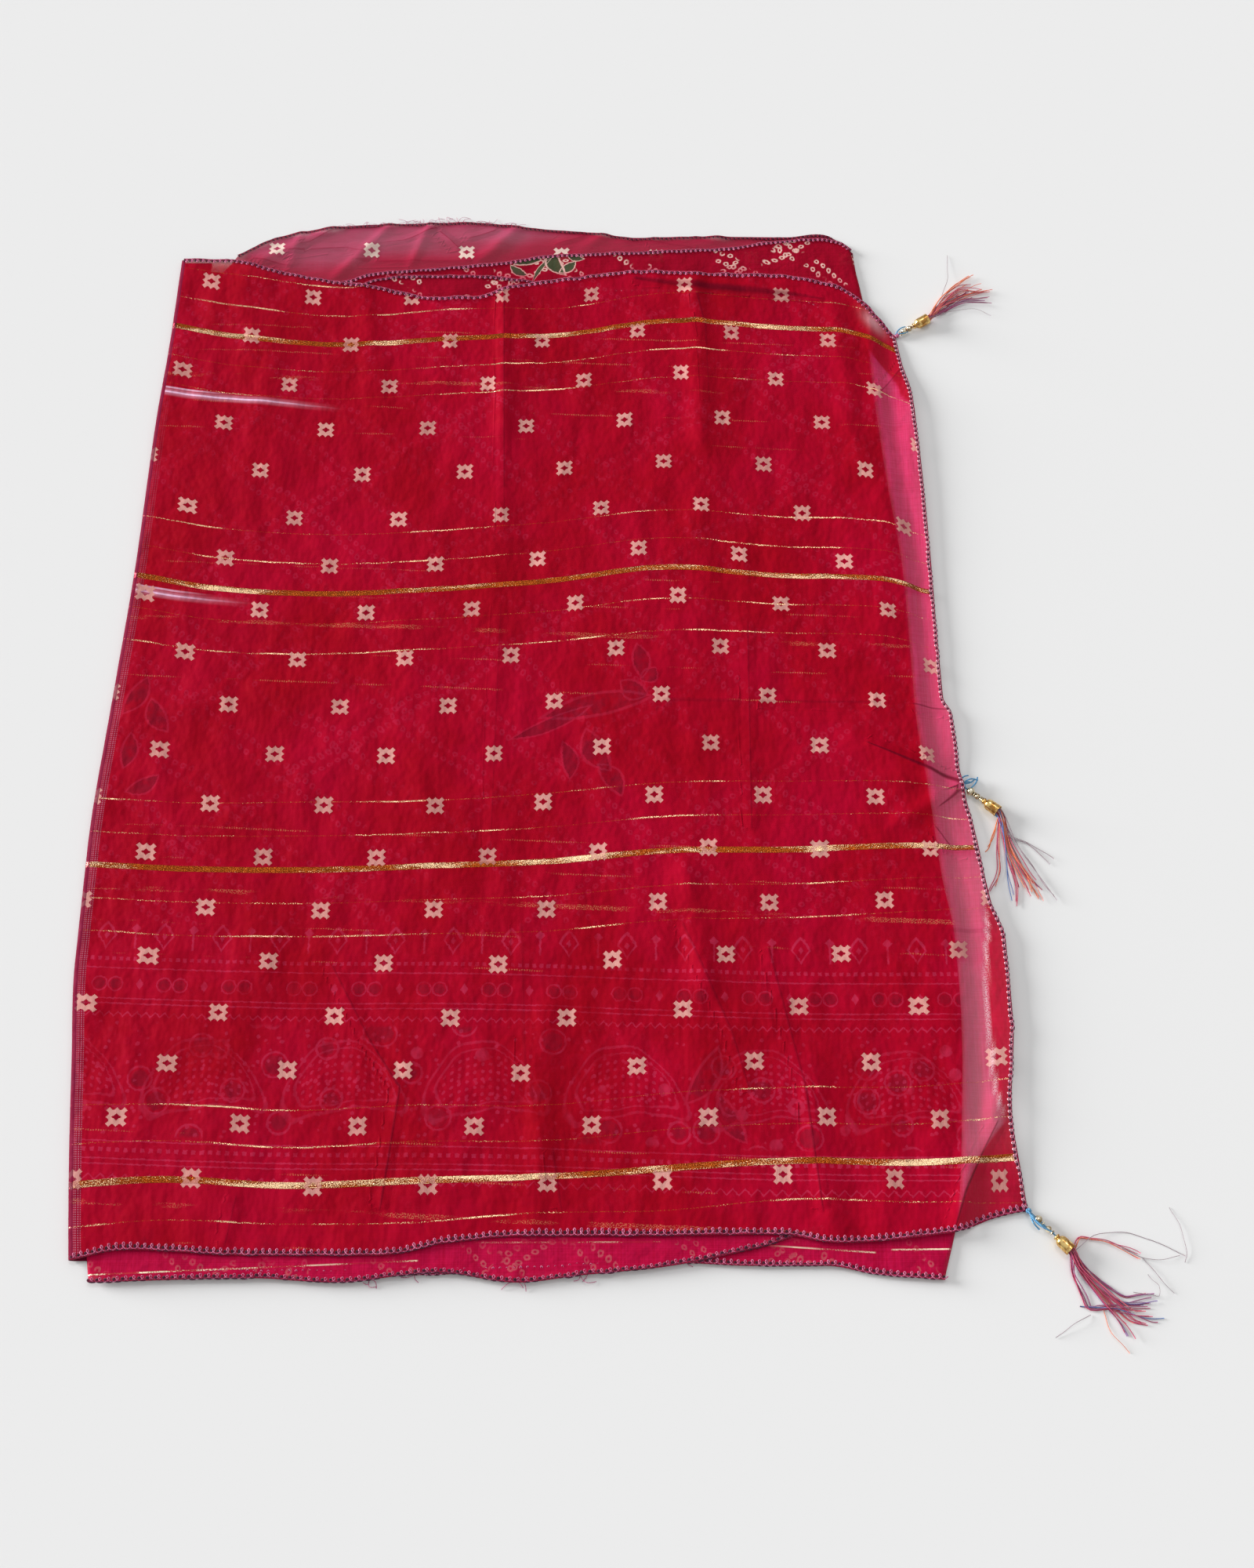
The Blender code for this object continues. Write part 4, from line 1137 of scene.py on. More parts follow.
def nearest_crease(x, y, table):
    """For each point, the crease that is strongest there: the signed distance from its line,
    its half width at that point of it, and its depth, faded past its ends."""
    best = np.zeros_like(x)
    off, half = np.full_like(x, CREASE_REACH), np.ones_like(x)
    for x0, y0, x1, y1, half_0, half_1, depth in table:
        length = math.hypot(x1 - x0, y1 - y0)
        ax, ay = (x1 - x0) / length, (y1 - y0) / length
        along = (x - x0) * ax + (y - y0) * ay
        across = (y - y0) * ax - (x - x0) * ay
        past = np.maximum(np.maximum(-along, along - length), 0.0)
        strength = depth * np.exp(-(past / 3.0) ** 2)
        strength = strength * smooth_step(CREASE_REACH, 0.6 * CREASE_REACH, np.abs(across) + past)
        share = np.clip(along / length, 0.0, 1.0)
        wins = strength > best
        best = np.where(wins, strength, best)
        off = np.where(wins, across, off)
        half = np.where(wins, half_0 + (half_1 - half_0) * share, half)
    return {"crease_off": off, "crease_half": half, "crease_depth": best}


# %% Make the top stretch
LOWEST = 0.25                        # no cloth lies lower than this, mm
TUCK = 26.0                          # how far the cloth runs on underneath its left fold, mm
FOLDED_WIDTH = 690.0                 # from the left fold to the tassel side, mm


def top_stretch():
    """Columns that wrap round the left fold, and then the field. The wrap's height runs from
    the lowest to the top's by the sine of the turn, and its inset by 1 less the cosine."""
    fold_in = np.linspace(TUCK, FOLD_ROUND, 6)
    turn = np.linspace(-0.5 * math.pi, 0.5 * math.pi, 11)[1:-1]
    inset = np.concatenate([fold_in, FOLD_ROUND * (1 - np.cos(turn))])
    side = np.concatenate([-np.ones(6), np.sin(turn)])
    v = np.linspace(0.0, 1.0, 300)[:, None]
    u = np.linspace(0.0, 1.0, 240)[None, :]
    edge_x, edge_y = TOP.place(np.zeros_like(v), v)
    wrap_x = edge_x + inset[None, :]
    wrap_y = edge_y + 0.0 * wrap_x
    level = top_height(edge_x + FOLD_ROUND, edge_y)
    wrap_z = (level + LOWEST) / 2 + (level - LOWEST) / 2 * side[None, :]
    start = (FOLD_ROUND + 0.4) / FOLDED_WIDTH
    field_u = start + (1 - start) * u
    field_x, field_y = TOP.place(field_u + 0 * v, v + 0 * u)
    x = np.concatenate([wrap_x, field_x], axis=1)
    y = np.concatenate([wrap_y, field_y], axis=1)
    z = np.concatenate([wrap_z, top_height(field_x, field_y)], axis=1)
    return x, y, z, len(inset)


top_x, top_y, top_z, wrap_columns = top_stretch()
column, row = motif_place(top_x, top_y)
nudge = 1.0
lean = COLUMN_PITCH * (read_chart(COLUMN_OFF, top_x, top_y + nudge)
                       - read_chart(COLUMN_OFF, top_x, top_y - nudge)) / (2 * nudge * 100)
single = smooth_step(-2.0, 3.0, top_x - read_edge(MID_FOLD, top_y))
# The tassel side's hem is turned under in two places: (y, width)
HEM_TURN = ((-360, 57), (-354, 55), (-325, 43), (-295, 25), (-280, 12), (-273, 6), (-243, 12),
            (-195, 17), (-152, 16), (-127, 12), (-108, 6), (-96, 0), (350, 0), (358, 8), (380, 12),
            (392, 18), (408, 26), (430, 34))
turn_width = read_edge(HEM_TURN, top_y)
turn_off = top_x - read_edge(TOP_TASSEL_END, top_y) + turn_width
doubled = smooth_step(-1.2, 1.2, turn_off) * smooth_step(0.5, 2.5, turn_width)
turn_edge = smooth_step(2.2, 0.6, np.abs(turn_off)) * smooth_step(-272, -262, top_y)
turn_edge = turn_edge * smooth_step(-104, -116, top_y)
# the floor shows strongly through one small spot beside the far tassel's knot, and its glow
# there is also painted into the colour as a pale pink
bare = np.exp(-(((top_x - 215) - 0.5 * (436 - top_y)) / 6.5) ** 2 - ((top_y - 437) / 10.0) ** 2)
from_fold = np.where(np.arange(top_x.shape[1]) < wrap_columns, 0.0,
                     top_x - read_edge(TOP_LEFT_FOLD, top_y))
weave_map = np.stack([top_x, top_y], axis=-1) * MM
top_values = nearest_crease(top_x, top_y, PRESSED)
top_values.update(lean=lean * ROW_PITCH, alone=single, doubled=doubled, from_fold=from_fold,
                  turn_edge=turn_edge, bare=bare)
top_cloth = make_piece(
    "top_cloth", np.stack([top_x, top_y, top_z], axis=-1), grid_faces(*top_x.shape),
    crimson,
    maps={"motifs": np.stack([column, row], axis=-1), "weave": weave_map}, values=top_values)
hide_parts("top_panel")


# %% [markdown]
# ## The three stretches below
# Each is the same kind of surface. The printed ones turn down at their folds, so that from the
# side the pile shows rounded folds and not cut edges.

# %% Make the lower stretches
TURN_DOWN = 3.0                      # width of the strip that turns down at a side, mm


def lower_stretch(stretch, height, columns, rows, left_drop, right_drop):
    """A grid over the stretch, lifted by its height. The outer strip of a side turns down in
    a quarter of an ellipse, by the drop given for it."""
    u = np.linspace(0.0, 1.0, columns)[None, :]
    u = np.concatenate([[[0.0, 0.0012, 0.003]], u[:, 1:-1], [[0.997, 0.9988, 1.0]]], axis=1)
    v = np.linspace(0.0, 1.0, rows)[:, None]
    x, y = stretch.place(u + 0 * v, v + 0 * u)
    z = height(x, y)
    from_left = np.clip((x - x[:, :1]) / TURN_DOWN, 0, 1)
    from_right = np.clip((x[:, -1:] - x) / TURN_DOWN, 0, 1)
    z = z - left_drop * (1 - np.sqrt(1 - (1 - from_left) ** 2))
    z = z - right_drop * (1 - np.sqrt(1 - (1 - from_right) ** 2))
    return x, y, np.maximum(z, LOWEST)


def printed_stretch(name, node, stretch, height, left_drop, right_drop, covers):
    """A lower stretch in the printed finish, which is told where it lies covered."""
    x, y, z = lower_stretch(stretch, height, 190, 210, left_drop, right_drop)
    hidden = 1 - uncovered(x, y, covers)
    piece = make_piece(name, np.stack([x, y, z], axis=-1), grid_faces(*x.shape),
                       printed, maps={"weave": np.stack([x, y], axis=-1) * MM},
                       values={"covered": hidden})
    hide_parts(node)
    return piece


inner_cloth = printed_stretch("inner_cloth", "inner_fold", INNER, inner_height, 1.2, 2.3,
                              (TOP, SECOND))
second_cloth = printed_stretch("second_cloth", "second_layer", SECOND, second_height, 1.2, 0.6,
                               (TOP,))

back_x, back_y, back_z = lower_stretch(BACK, back_height, 190, 250, 0.2, 0.2)
# the veil is denser in a strip at its corner, over the inner hem, on the right and at its own hem
corner_strip = smooth_step(167, 172, back_x) * smooth_step(430, 450, back_y)
band_depth = read_edge(BACK_FAR_HEM, back_x) - back_y
near_inner = smooth_step(34.0, 4.0, INNER.past(back_x, back_y)) * 0.75
right_part = smooth_step(-120, 20, back_x) * 0.25
at_hem = smooth_step(3.0, 0.5, band_depth) * 0.5
back_values = nearest_crease(back_x, back_y, BACK_PRESSED)
back_values["dense"] = np.clip(0.30 + corner_strip + near_inner + right_part + at_hem, 0, 1)
back_cloth = make_piece(
    "back_cloth", np.stack([back_x, back_y, back_z], axis=-1), grid_faces(*back_x.shape),
    sheer,
    maps={"weave": np.stack([back_x, back_y], axis=-1) * MM,
          "motifs": np.stack([(back_x + 310.0) / BACK_PITCH,
                              (511.0 - back_y - 0.02 * back_x) / ROW_PITCH], axis=-1)},
    values=back_values)
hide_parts("back_layer")

# %% [markdown]
# ## Overlocked hems
# The hems are finished on an overlock machine: a pink looper thread winds over a rolled
# edge in loops about 5 mm apart, and a dark thread lies under it. A texture would look flat
# here, so each thread is a tube along its own path. The looper's path is a sine along
# the hem set against a cosine across it, which draws the open loops.


# %% Tubes along paths
def tubes(paths, radius, sides):
    """Points and faces of closed tubes. A tube's ring stands on the path's direction: the
    direction times 'up' gives one axis, and that times the direction the other."""
    paths = np.asarray(paths, float)
    count, steps, _ = paths.shape
    ahead = np.gradient(paths, axis=1)
    ahead /= np.maximum(np.linalg.norm(ahead, axis=2, keepdims=True), 1e-9)
    side = np.cross(ahead, (0.0, 0.0, 1.0))
    side /= np.maximum(np.linalg.norm(side, axis=2, keepdims=True), 1e-6)
    up = np.cross(side, ahead)
    turn = np.arange(sides) * 2 * math.pi / sides
    radius = np.broadcast_to(np.asarray(radius, float), (count, steps))[:, :, None, None]
    ring = (np.cos(turn)[None, None, :, None] * side[:, :, None, :]
            + np.sin(turn)[None, None, :, None] * up[:, :, None, :])
    points = paths[:, :, None, :] + ring * radius
    faces = grid_faces(steps, sides, closed=True)
    pairs = np.arange(sides // 2 - 1)
    cap = np.stack([pairs, pairs + 1, sides - 2 - pairs, sides - 1 - pairs], axis=1)
    faces = np.concatenate([faces, cap, cap[:, ::-1] + (steps - 1) * sides])
    faces = faces[None] + (np.arange(count) * steps * sides)[:, None, None]
    return points, faces.reshape(-1, 4)


def resample(path, step):
    """The path again with its points an even step apart, and the distance along it."""
    gaps = np.linalg.norm(np.diff(path, axis=0), axis=1)
    distance = np.concatenate([[0.0], np.cumsum(gaps)])
    at = np.linspace(0.0, distance[-1], int(distance[-1] / step) + 1)
    return np.stack([np.interp(at, distance, path[:, k]) for k in range(3)], axis=1), at


def thread_finish(name, light, dark, twist):
    """Twisted thread: slanted plies, from one wave along and round the tube. Light and dark on it
    are partly painted highlight and shade of the plies, and partly the thread's uneven colour.
    """
    finish = Finish(name, {"Specular IOR Level": 0.15, "Sheen Weight": 0.15})
    x, y = finish.uv("weave")
    ply = ((x * 1000 + y * 1000) * twist).sine() * 0.5 + 0.5
    chance = finish.noise(finish.vector(x * 300, y * 300), detail=2.0)
    # the lighter colour on the ply crests is a painted highlight and the darker between them painted
    # shade; the noise adds the thread's own uneven colour
    colour = finish.mix((ply * 0.5 + chance * 0.9 - 0.2).rise(0.1, 0.9), dark, light)
    finish.connect(Base_Color=colour, Roughness=0.75 - chance * 0.25)
    finish.relief(ply, 0.5, 0.0002)
    return finish


pink_thread = thread_finish("pink_thread", (0.74, 0.24, 0.40), (0.36, 0.03, 0.12), 3.4)
pale_thread = thread_finish("pale_thread", (0.95, 0.68, 0.74), (0.66, 0.20, 0.36), 3.4)
dark_thread = thread_finish("dark_thread", (0.13, 0.012, 0.050), (0.035, 0.006, 0.020), 3.4)
edge_cord = thread_finish("rolled_edge", (0.40, 0.004, 0.050), (0.15, 0.003, 0.025), 2.2)


# %% Sew a hem
HEM_KNOT = 9.0                       # how often the loops change in size and place, mm


def hem_path(stretch, side, start, stop, height):
    """The line of one hem from start to stop of its length: near, far or right."""
    t = np.linspace(start, stop, 400)
    if side == "right":
        u, v = np.ones_like(t), t
    else:
        u, v = t, np.full_like(t, 0.0 if side == "near" else 1.0)
    x, y = stretch.place(u, v)
    return np.stack([x, y, height(x, y)], axis=1)


def sew_hem(name, path, outward, pitch=5.0, width=4.2, thick=0.46, under=0.62, loops=None,
            cord=0.80, seed=1):
    """A rolled edge, the looper thread over it and the dark thread beside it. outward is 1
    where the cloth lies to the left of the path, and -1 where it lies to the right."""
    line, at = resample(path, pitch / 14)
    ahead = np.gradient(line, axis=0)
    ahead /= np.linalg.norm(ahead, axis=1, keepdims=True)
    out = np.stack([ahead[:, 1], -ahead[:, 0], 0 * at], axis=1) * outward
    rng = np.random.default_rng(seed)
    knots = int(at[-1] / HEM_KNOT)

    def wandering(values):
        return np.interp(at, np.linspace(0, at[-1], knots), values)

    drift = wandering(rng.normal(0, 0.30, knots).cumsum() * 0.6)
    size = wandering(rng.uniform(0.70, 1.20, knots))
    shift_out = wandering(rng.normal(0, 0.30, knots))
    phase = 2 * math.pi * at / pitch + drift
    upward = np.array([0.0, 0.0, 1.0])

    def strand(shift, reach, inset, sweep, lift, low):
        across = inset + shift_out + reach * size * np.cos(phase + shift)
        return (line + ahead * (sweep * pitch * np.sin(phase + shift))[:, None]
                + out * across[:, None]
                + upward * (low + lift * (0.5 - 0.5 * np.cos(phase + shift)))[:, None])

    looper = strand(0.0, width / 2, -width / 2 + 0.5, 0.36, 0.85, 0.30)
    beside = strand(math.pi * 0.85, width * 0.34, -width * 0.20 + 0.2, 0.30, 0.35, -0.10)
    pieces = [(looper, thick, loops or pink_thread, "loops"), (beside, under, dark_thread, "under"),
              ((line + out * 0.25 + upward * -0.05)[::3], cord, edge_cord, "edge")]
    made = []
    for path_points, radius, finish, part in pieces:
        path_points[:, 2] = np.maximum(path_points[:, 2], radius + 0.05)
        points, faces = tubes(path_points[None], radius, 4 if part != "edge" else 6)
        uv = points[..., :2] * MM
        made.append(make_piece(f"{name}_{part}", points, faces, finish, maps={"weave": uv}))
    return made


top_hems = sew_hem("top_near_hem", hem_path(TOP, "near", 0.004, 1.0, top_height), 1,
                   seed=3)
top_hems += sew_hem("top_far_hem", hem_path(TOP, "far", 0.004, 1.0, top_height), -1,
                    width=3.8, thick=0.44, seed=4)
top_hems += sew_hem("tassel_side_hem", hem_path(TOP, "right", 0.0, 1.0, top_height), 1,
                    width=2.6, thick=0.40, pitch=4.6, under=0.70,
                    loops=pale_thread, seed=5)
second_hems = sew_hem("second_near_hem", hem_path(SECOND, "near", 0.0, 0.86, second_height), 1,
                      pitch=6.0, width=3.0, thick=0.32, under=0.80, seed=6)
second_hems += sew_hem("second_far_hem", hem_path(SECOND, "far", 0.16, 1.0, second_height), -1,
                       pitch=4.6, width=3.2, thick=0.34, under=0.72, seed=7)
inner_hems = sew_hem("inner_near_hem", hem_path(INNER, "near", 0.0, 1.0, inner_height), 1,
                     width=3.6, thick=0.42, seed=8)
inner_hems += sew_hem("inner_far_hem", hem_path(INNER, "far", 0.16, 1.0, inner_height), -1,
                      pitch=4.2, width=3.6, thick=0.38, under=0.60, seed=9)
back_hems = sew_hem("back_far_hem", hem_path(BACK, "far", 0.0, 1.0, back_height), -1,
                    pitch=3.8, width=2.4, thick=0.34, loops=edge_cord, cord=0.60,
                    seed=10)
back_hems += sew_hem("back_near_hem", hem_path(BACK, "near", 0.0, 1.0, back_height), 1,
                     pitch=7.0, width=2.6, thick=0.34, seed=11)

# %% [markdown]
# The cloth is 0.85 m from hem to hem.

# %% [markdown]
# ## Tassels
# Each tassel hangs on a knotted thread with two beads and small rings, then a bell cap that
# holds a tuft of sewing threads. The hard pieces are turned: a profile of radius against
# distance, carried round the tassel's axis. The tufts come out of their caps in a few wisps,
# each along its own way over the floor, so each wisp is a row in a table.

# %% Tassel measures
ORANGE, SALMON, PINK, MAROON, VIOLET, BLUE, GREY = 0.0, 0.18, 0.36, 0.52, 0.68, 0.82, 1.0
# Wisps: the way in x and y, how many threads, how far they spread, and tint
FAR_WISPS = (
    (((261, 445), (275, 464), (291, 478), (310, 491)), 5, 4.0, ORANGE),
    (((261, 445), (277, 461), (295, 476), (315, 474)), 6, 4.0, PINK),
    (((261, 445), (278, 451), (297, 466), (321, 467)), 5, 5.0, MAROON),
    (((261, 445), (278, 451), (298, 460), (320, 460)), 4, 4.0, VIOLET),
    (((261, 445), (278, 458), (303, 471), (324, 478)), 5, 5.0, SALMON),
    (((261, 445), (274, 455), (287, 462), (302, 470)), 6, 5.0, MAROON),
    (((275, 464), (278, 473), (282, 486), (283, 511)), 1, 0.5, GREY),
    (((261, 445), (283, 450), (303, 452), (318, 446)), 1, 0.5, GREY),
)
MIDDLE_WISPS = (
    (((286, -25), (286, -43), (283, -53), (276, -61)), 2, 1.5, ORANGE),
    (((286, -25), (289, -53), (288, -71), (280, -95)), 3, 2.5, PINK),
    (((286, -25), (294, -60), (295, -77), (295, -106)), 2, 1.0, BLUE),
    (((286, -25), (298, -58), (309, -84), (316, -101)), 9, 5.0, SALMON),
    (((286, -25), (296, -60), (302, -86), (302, -104)), 5, 3.5, PINK),
    (((286, -25), (299, -52), (308, -74), (322, -92)), 4, 4.0, MAROON),
    (((286, -25), (297, -45), (311, -50), (335, -74)), 2, 2.0, GREY),
    (((286, -25), (306, -58), (317, -77), (331, -100)), 2, 2.0, GREY),
)
NEAR_WISPS = (
    (((318, -362), (326, -357), (342, -359), (356, -365), (372, -372)), 4, 2.5, PINK),
    (((318, -362), (339, -355), (357, -353), (375, -359), (401, -370)), 1, 0.5, GREY),
    (((356, -365), (372, -372), (382, -373), (397, -370)), 1, 0.5, GREY),
    (((400, -375), (402, -367), (399, -350), (394, -335)), 1, 0.5, GREY),
    (((318, -362), (323, -378), (336, -392), (349, -406), (360, -415), (373, -416)), 12, 6.0, PINK),
    (((318, -362), (324, -376), (340, -392), (357, -403), (380, -402)), 7, 5.0, VIOLET),
    (((318, -362), (325, -382), (341, -403), (353, -417), (360, -432)), 4, 4.0, MAROON),
    (((318, -362), (319, -381), (325, -399), (329, -408), (345, -406), (374, -406)), 5, 4.0, MAROON),
    (((322, -406), (345, -408), (369, -415), (388, -413)), 2, 2.0, VIOLET),
    (((329, -412), (316, -419), (303, -428)), 1, 0.5, GREY),
    (((338, -406), (343, -425), (355, -438)), 1, 0.5, PINK),
    (((361, -396), (378, -399), (379, -392), (372, -384)), 1, 0.5, GREY),
    (((370, -372), (380, -385), (390, -397)), 1, 0.5, GREY),
)
TASSELS = (
    dict(name="tassel_far", x=234.5, y=424.5, z=2.5, heading=30, cap_at=24,
         beads=((5.2, 7.0), (5.0, 12.6)), rings=(3.6, 10.2, 15.6), wisps=FAR_WISPS, seed=21),
    dict(name="tassel_middle", x=264.2, y=-3.2, z=3.2, heading=-41, cap_at=27,
         beads=((7.0, 7.4), (4.8, 14.2)), rings=(11.6, 17.4, 18.8), wisps=MIDDLE_WISPS, seed=22),
    dict(name="tassel_near", x=290.3, y=-338.4, z=3.0, heading=-46, cap_at=33,
         beads=((6.4, 9.0), (5.0, 18.6)), rings=(13.4, 22.4), wisps=NEAR_WISPS, seed=23),
)
CAP_LENGTH = 14.5                    # mm
CAP_MOUTH, CAP_CLEAR = 4.8, 0.5      # the mouth's radius and its height over the floor, mm
MOUTH_SPREAD, ROOT_DEPTH = 3.2, 5.0  # radius of the threads' roots and their depth in the cap, mm
THREAD_SHORT = 7.0                   # how far before the cap's mouth the tie thread ends, mm
STRAY_RADIUS, WISP_RADIUS = 0.24, 0.38    # of a thread that lies alone, and of one in a wisp
THREAD_LOW = 0.5                     # no thread's middle lies lower than this, mm
print("tassels:", [row["name"] for row in TASSELS])


# %% Turn a profile on a tassel's axis
def tassel_axes(row):
    """The middle of the knot and three directions: along the axis, sideways and up."""
    heading = math.radians(row["heading"])
    tilt = math.atan2(CAP_MOUTH + CAP_CLEAR - row["z"], row["cap_at"] + CAP_LENGTH / 2)
    along = np.array([math.cos(heading) * math.cos(tilt), math.sin(heading) * math.cos(tilt),
                      math.sin(tilt)])
    side = np.array([-math.sin(heading), math.cos(heading), 0.0])
    return np.array([row["x"], row["y"], row["z"]]), along, side, np.cross(along, side)


def turned(row, profile, sides, closed, bump=0.0):
    """Points and faces of a profile (radius, distance) turned round the tassel's axis: the
    origin, plus distance times the axis, plus radius times cosine and sine of the turn. A
    bump makes the radius swell and shrink by that share, as thin sheet metal does."""
    origin, along, side, up = tassel_axes(row)
    radius, distance = np.array(profile, float).T
    if closed:
        radius, distance = np.append(radius, radius[0]), np.append(distance, distance[0])
    turn = np.arange(sides) * 2 * math.pi / sides
    round_it = np.cos(turn)[:, None] * side + np.sin(turn)[:, None] * up
    swell = 1 + bump * np.sin(3 * turn[None, :] + distance[:, None] * 0.9) * np.sin(
        distance[:, None] * 0.7 + 2 * turn[None, :])
    reach = radius[:, None] * swell
    points = origin + distance[:, None, None] * along + reach[:, :, None] * round_it[None, :, :]
    return points, grid_faces(len(radius), sides, closed=True)


def joined(parts):
    """Several (points, faces) as one."""
    points, faces, first = [], [], 0
    for part_points, part_faces in parts:
        part_points = part_points.reshape(-1, 3)
        points.append(part_points)
        faces.append(part_faces + first)
        first += len(part_points)
    return np.concatenate(points), np.concatenate(faces)


def weld(piece):
    """Merges doubled points and turns every face outwards."""
    form = bmesh.new()
    form.from_mesh(piece.data)
    bmesh.ops.remove_doubles(form, verts=form.verts, dist=2e-6)
    bmesh.ops.recalc_face_normals(form, faces=form.faces)
    form.to_mesh(piece.data)
    form.free()
    piece.data.shade_smooth()


# %% [markdown]
# ## Metal of the beads and caps
# The fittings are thin plated metal: bright gold, with a duller, redder tone painted in as dark
# reflections where a slow noise is high, and fine scratches round the turned faces.

# %% Gold metal and thread finishes
def gold_finish(name, bright, reflection_dark):
    finish = Finish(name, {"Metallic": 1.0})
    spot = finish.node("ShaderNodeTexCoord", {}, {}).outputs["Object"]
    dark_reflection_patches = finish.noise(spot, scale=260.0, detail=4.0, roughness=0.6)
    fine = finish.noise(spot, scale=1500.0, detail=2.0)
    # painted dark reflections: slow noise mixes the duller colour into the bright gold
    colour = finish.mix(dark_reflection_patches.rise(0.40, 0.60), bright, reflection_dark)
    finish.connect(Base_Color=colour, Roughness=0.10 + dark_reflection_patches * 0.20 + fine * 0.06)
    finish.relief(fine * 0.4 + dark_reflection_patches * 1.4, 0.35, 0.0002)
    return finish


gold_metal = gold_finish("gold_metal", (0.96, 0.68, 0.26), (0.46, 0.21, 0.05))
silver_gold = gold_finish("silver_gold", (0.97, 0.88, 0.66), (0.42, 0.30, 0.16))
tie_blue = thread_finish("tie_blue", (0.20, 0.50, 0.74), (0.03, 0.14, 0.32), 5.0)


def tuft_finish():
    finish = Finish("tassel_strands", {"Specular IOR Level": 0.25, "Sheen Weight": 0.2})
    tint = finish.attribute("tint")
    colour = finish.node("ShaderNodeValToRGB", {"stops": (
        (ORANGE, (0.88, 0.20, 0.025)), (SALMON, (0.86, 0.24, 0.12)), (PINK, (0.66, 0.10, 0.20)),
        (MAROON, (0.42, 0.030, 0.09)), (VIOLET, (0.30, 0.13, 0.32)), (BLUE, (0.07, 0.20, 0.48)),
        (GREY, (0.36, 0.30, 0.33)))}, {0: tint}).outputs[0]
    x, y = finish.uv("weave")
    ply = (x * 3000 + y * 3000).sine() * 0.5 + 0.5
    # painted shade between the plies
    shade = finish.mix(ply * 0.30, colour, (0.22, 0.02, 0.05))
    finish.connect(Base_Color=shade, Roughness=0.45 + ply * 0.2)
    return finish


tuft_threads = tuft_finish()


# %% Profiles of the turned pieces
def smooth_profile(points, count):
    """More points on the same profile: a cubic through each coordinate against the number of
    the point."""
    points = np.array(points, float)
    number = np.arange(len(points))
    at = np.linspace(0, len(points) - 1, count)
    return np.stack([read_edge(np.stack([number, points[:, k]], axis=1), at)
                     for k in range(2)], axis=1)


def bead_profile(radius, middle, bore=0.9):
    """A round bead with a bore: half a circle from its far end to its near one."""
    reach = math.asin(bore / radius)
    turn = np.linspace(reach, math.pi - reach, 22)
    return np.stack([radius * np.sin(turn), middle + 0.94 * radius * np.cos(turn)], axis=1)


def ring_profile(radius, middle, wire=0.55):
    """A small ring of round wire."""
    turn = np.arange(10) * 2 * math.pi / 10
    return np.stack([radius + wire * np.cos(turn), middle + wire * np.sin(turn)], axis=1)


def cap_profile(start):
    """Outside from the mouth to the neck ring, and back inside with a thin wall."""
    end = start + CAP_LENGTH
    outer = smooth_profile([(4.50, end), (4.70, end - 0.25), (4.66, end - 0.9), (4.56, end - 3.0),
                            (4.48, end - 6.5), (4.40, end - 9.0), (4.05, end - 10.4),
                            (3.10, end - 11.6), (2.10, end - 12.4), (1.95, end - 12.8),
                            (2.55, end - 13.2), (2.60, end - 13.9), (2.10, end - 14.4),
                            (1.3, end - 14.5)], 44)
    inner = smooth_profile([(0.95, end - 14.4), (1.2, end - 12.4), (2.9, end - 10.2),
                            (3.9, end - 7.0), (4.05, end - 3.0), (4.2, end - 0.8), (4.3, end - 0.1)],
                           16)
    return np.concatenate([outer, inner])


def knot_profile(end):
    """The knot at the hem and the thread that runs on to the tuft's head."""
    turn = np.linspace(math.pi * 0.08, math.pi, 14)
    knot = [(2.1 * math.sin(a) * (1 + 0.08 * math.sin(9 * a)), 2.1 * math.cos(a)) for a in turn]
    return [(0.0, end), (0.55, end), (0.55, 2.4)] + knot


def make_tassel_metal(row):
    """A tassel's knotted thread, its beads and rings, and its cap."""
    name = row["name"]
    cap_start = row["cap_at"] - CAP_LENGTH / 2
    thread_end = cap_start + CAP_LENGTH - THREAD_SHORT
    points, faces = turned(row, knot_profile(thread_end), 16, False)
    thread = make_piece(name + "_tie", points, faces,
                        pink_thread if name == "tassel_far" else tie_blue,
                        maps={"weave": points[..., :2] * MM})
    weld(thread)
    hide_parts(name + "_thread")
    parts = [turned(row, bead_profile(width / 2, at), 32, True) for width, at in row["beads"]]
    parts += [turned(row, ring_profile(1.7, at), 20, True) for at in row["rings"]]
    points, faces = joined(parts)
    beads = make_piece(name + "_beads", points, faces, silver_gold)
    weld(beads)
    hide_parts(name + "_bead_1", name + "_bead_2")
    points, faces = turned(row, cap_profile(cap_start), 48, True, bump=0.012)
    cap = make_piece(name + "_bell", points, faces, gold_metal)
    weld(cap)
    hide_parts(name + "_cap")


for tassel in TASSELS:
    make_tassel_metal(tassel)

# %% [markdown]
# ## The tufts
# A tuft of real thread springs out of the cap, spreads, and sinks to the surface. Each thread
# here leaves the mouth at its own place and follows its wisp's way, with its own offset
# that grows towards the tip and a wave of its own. A few stray ones reach further.


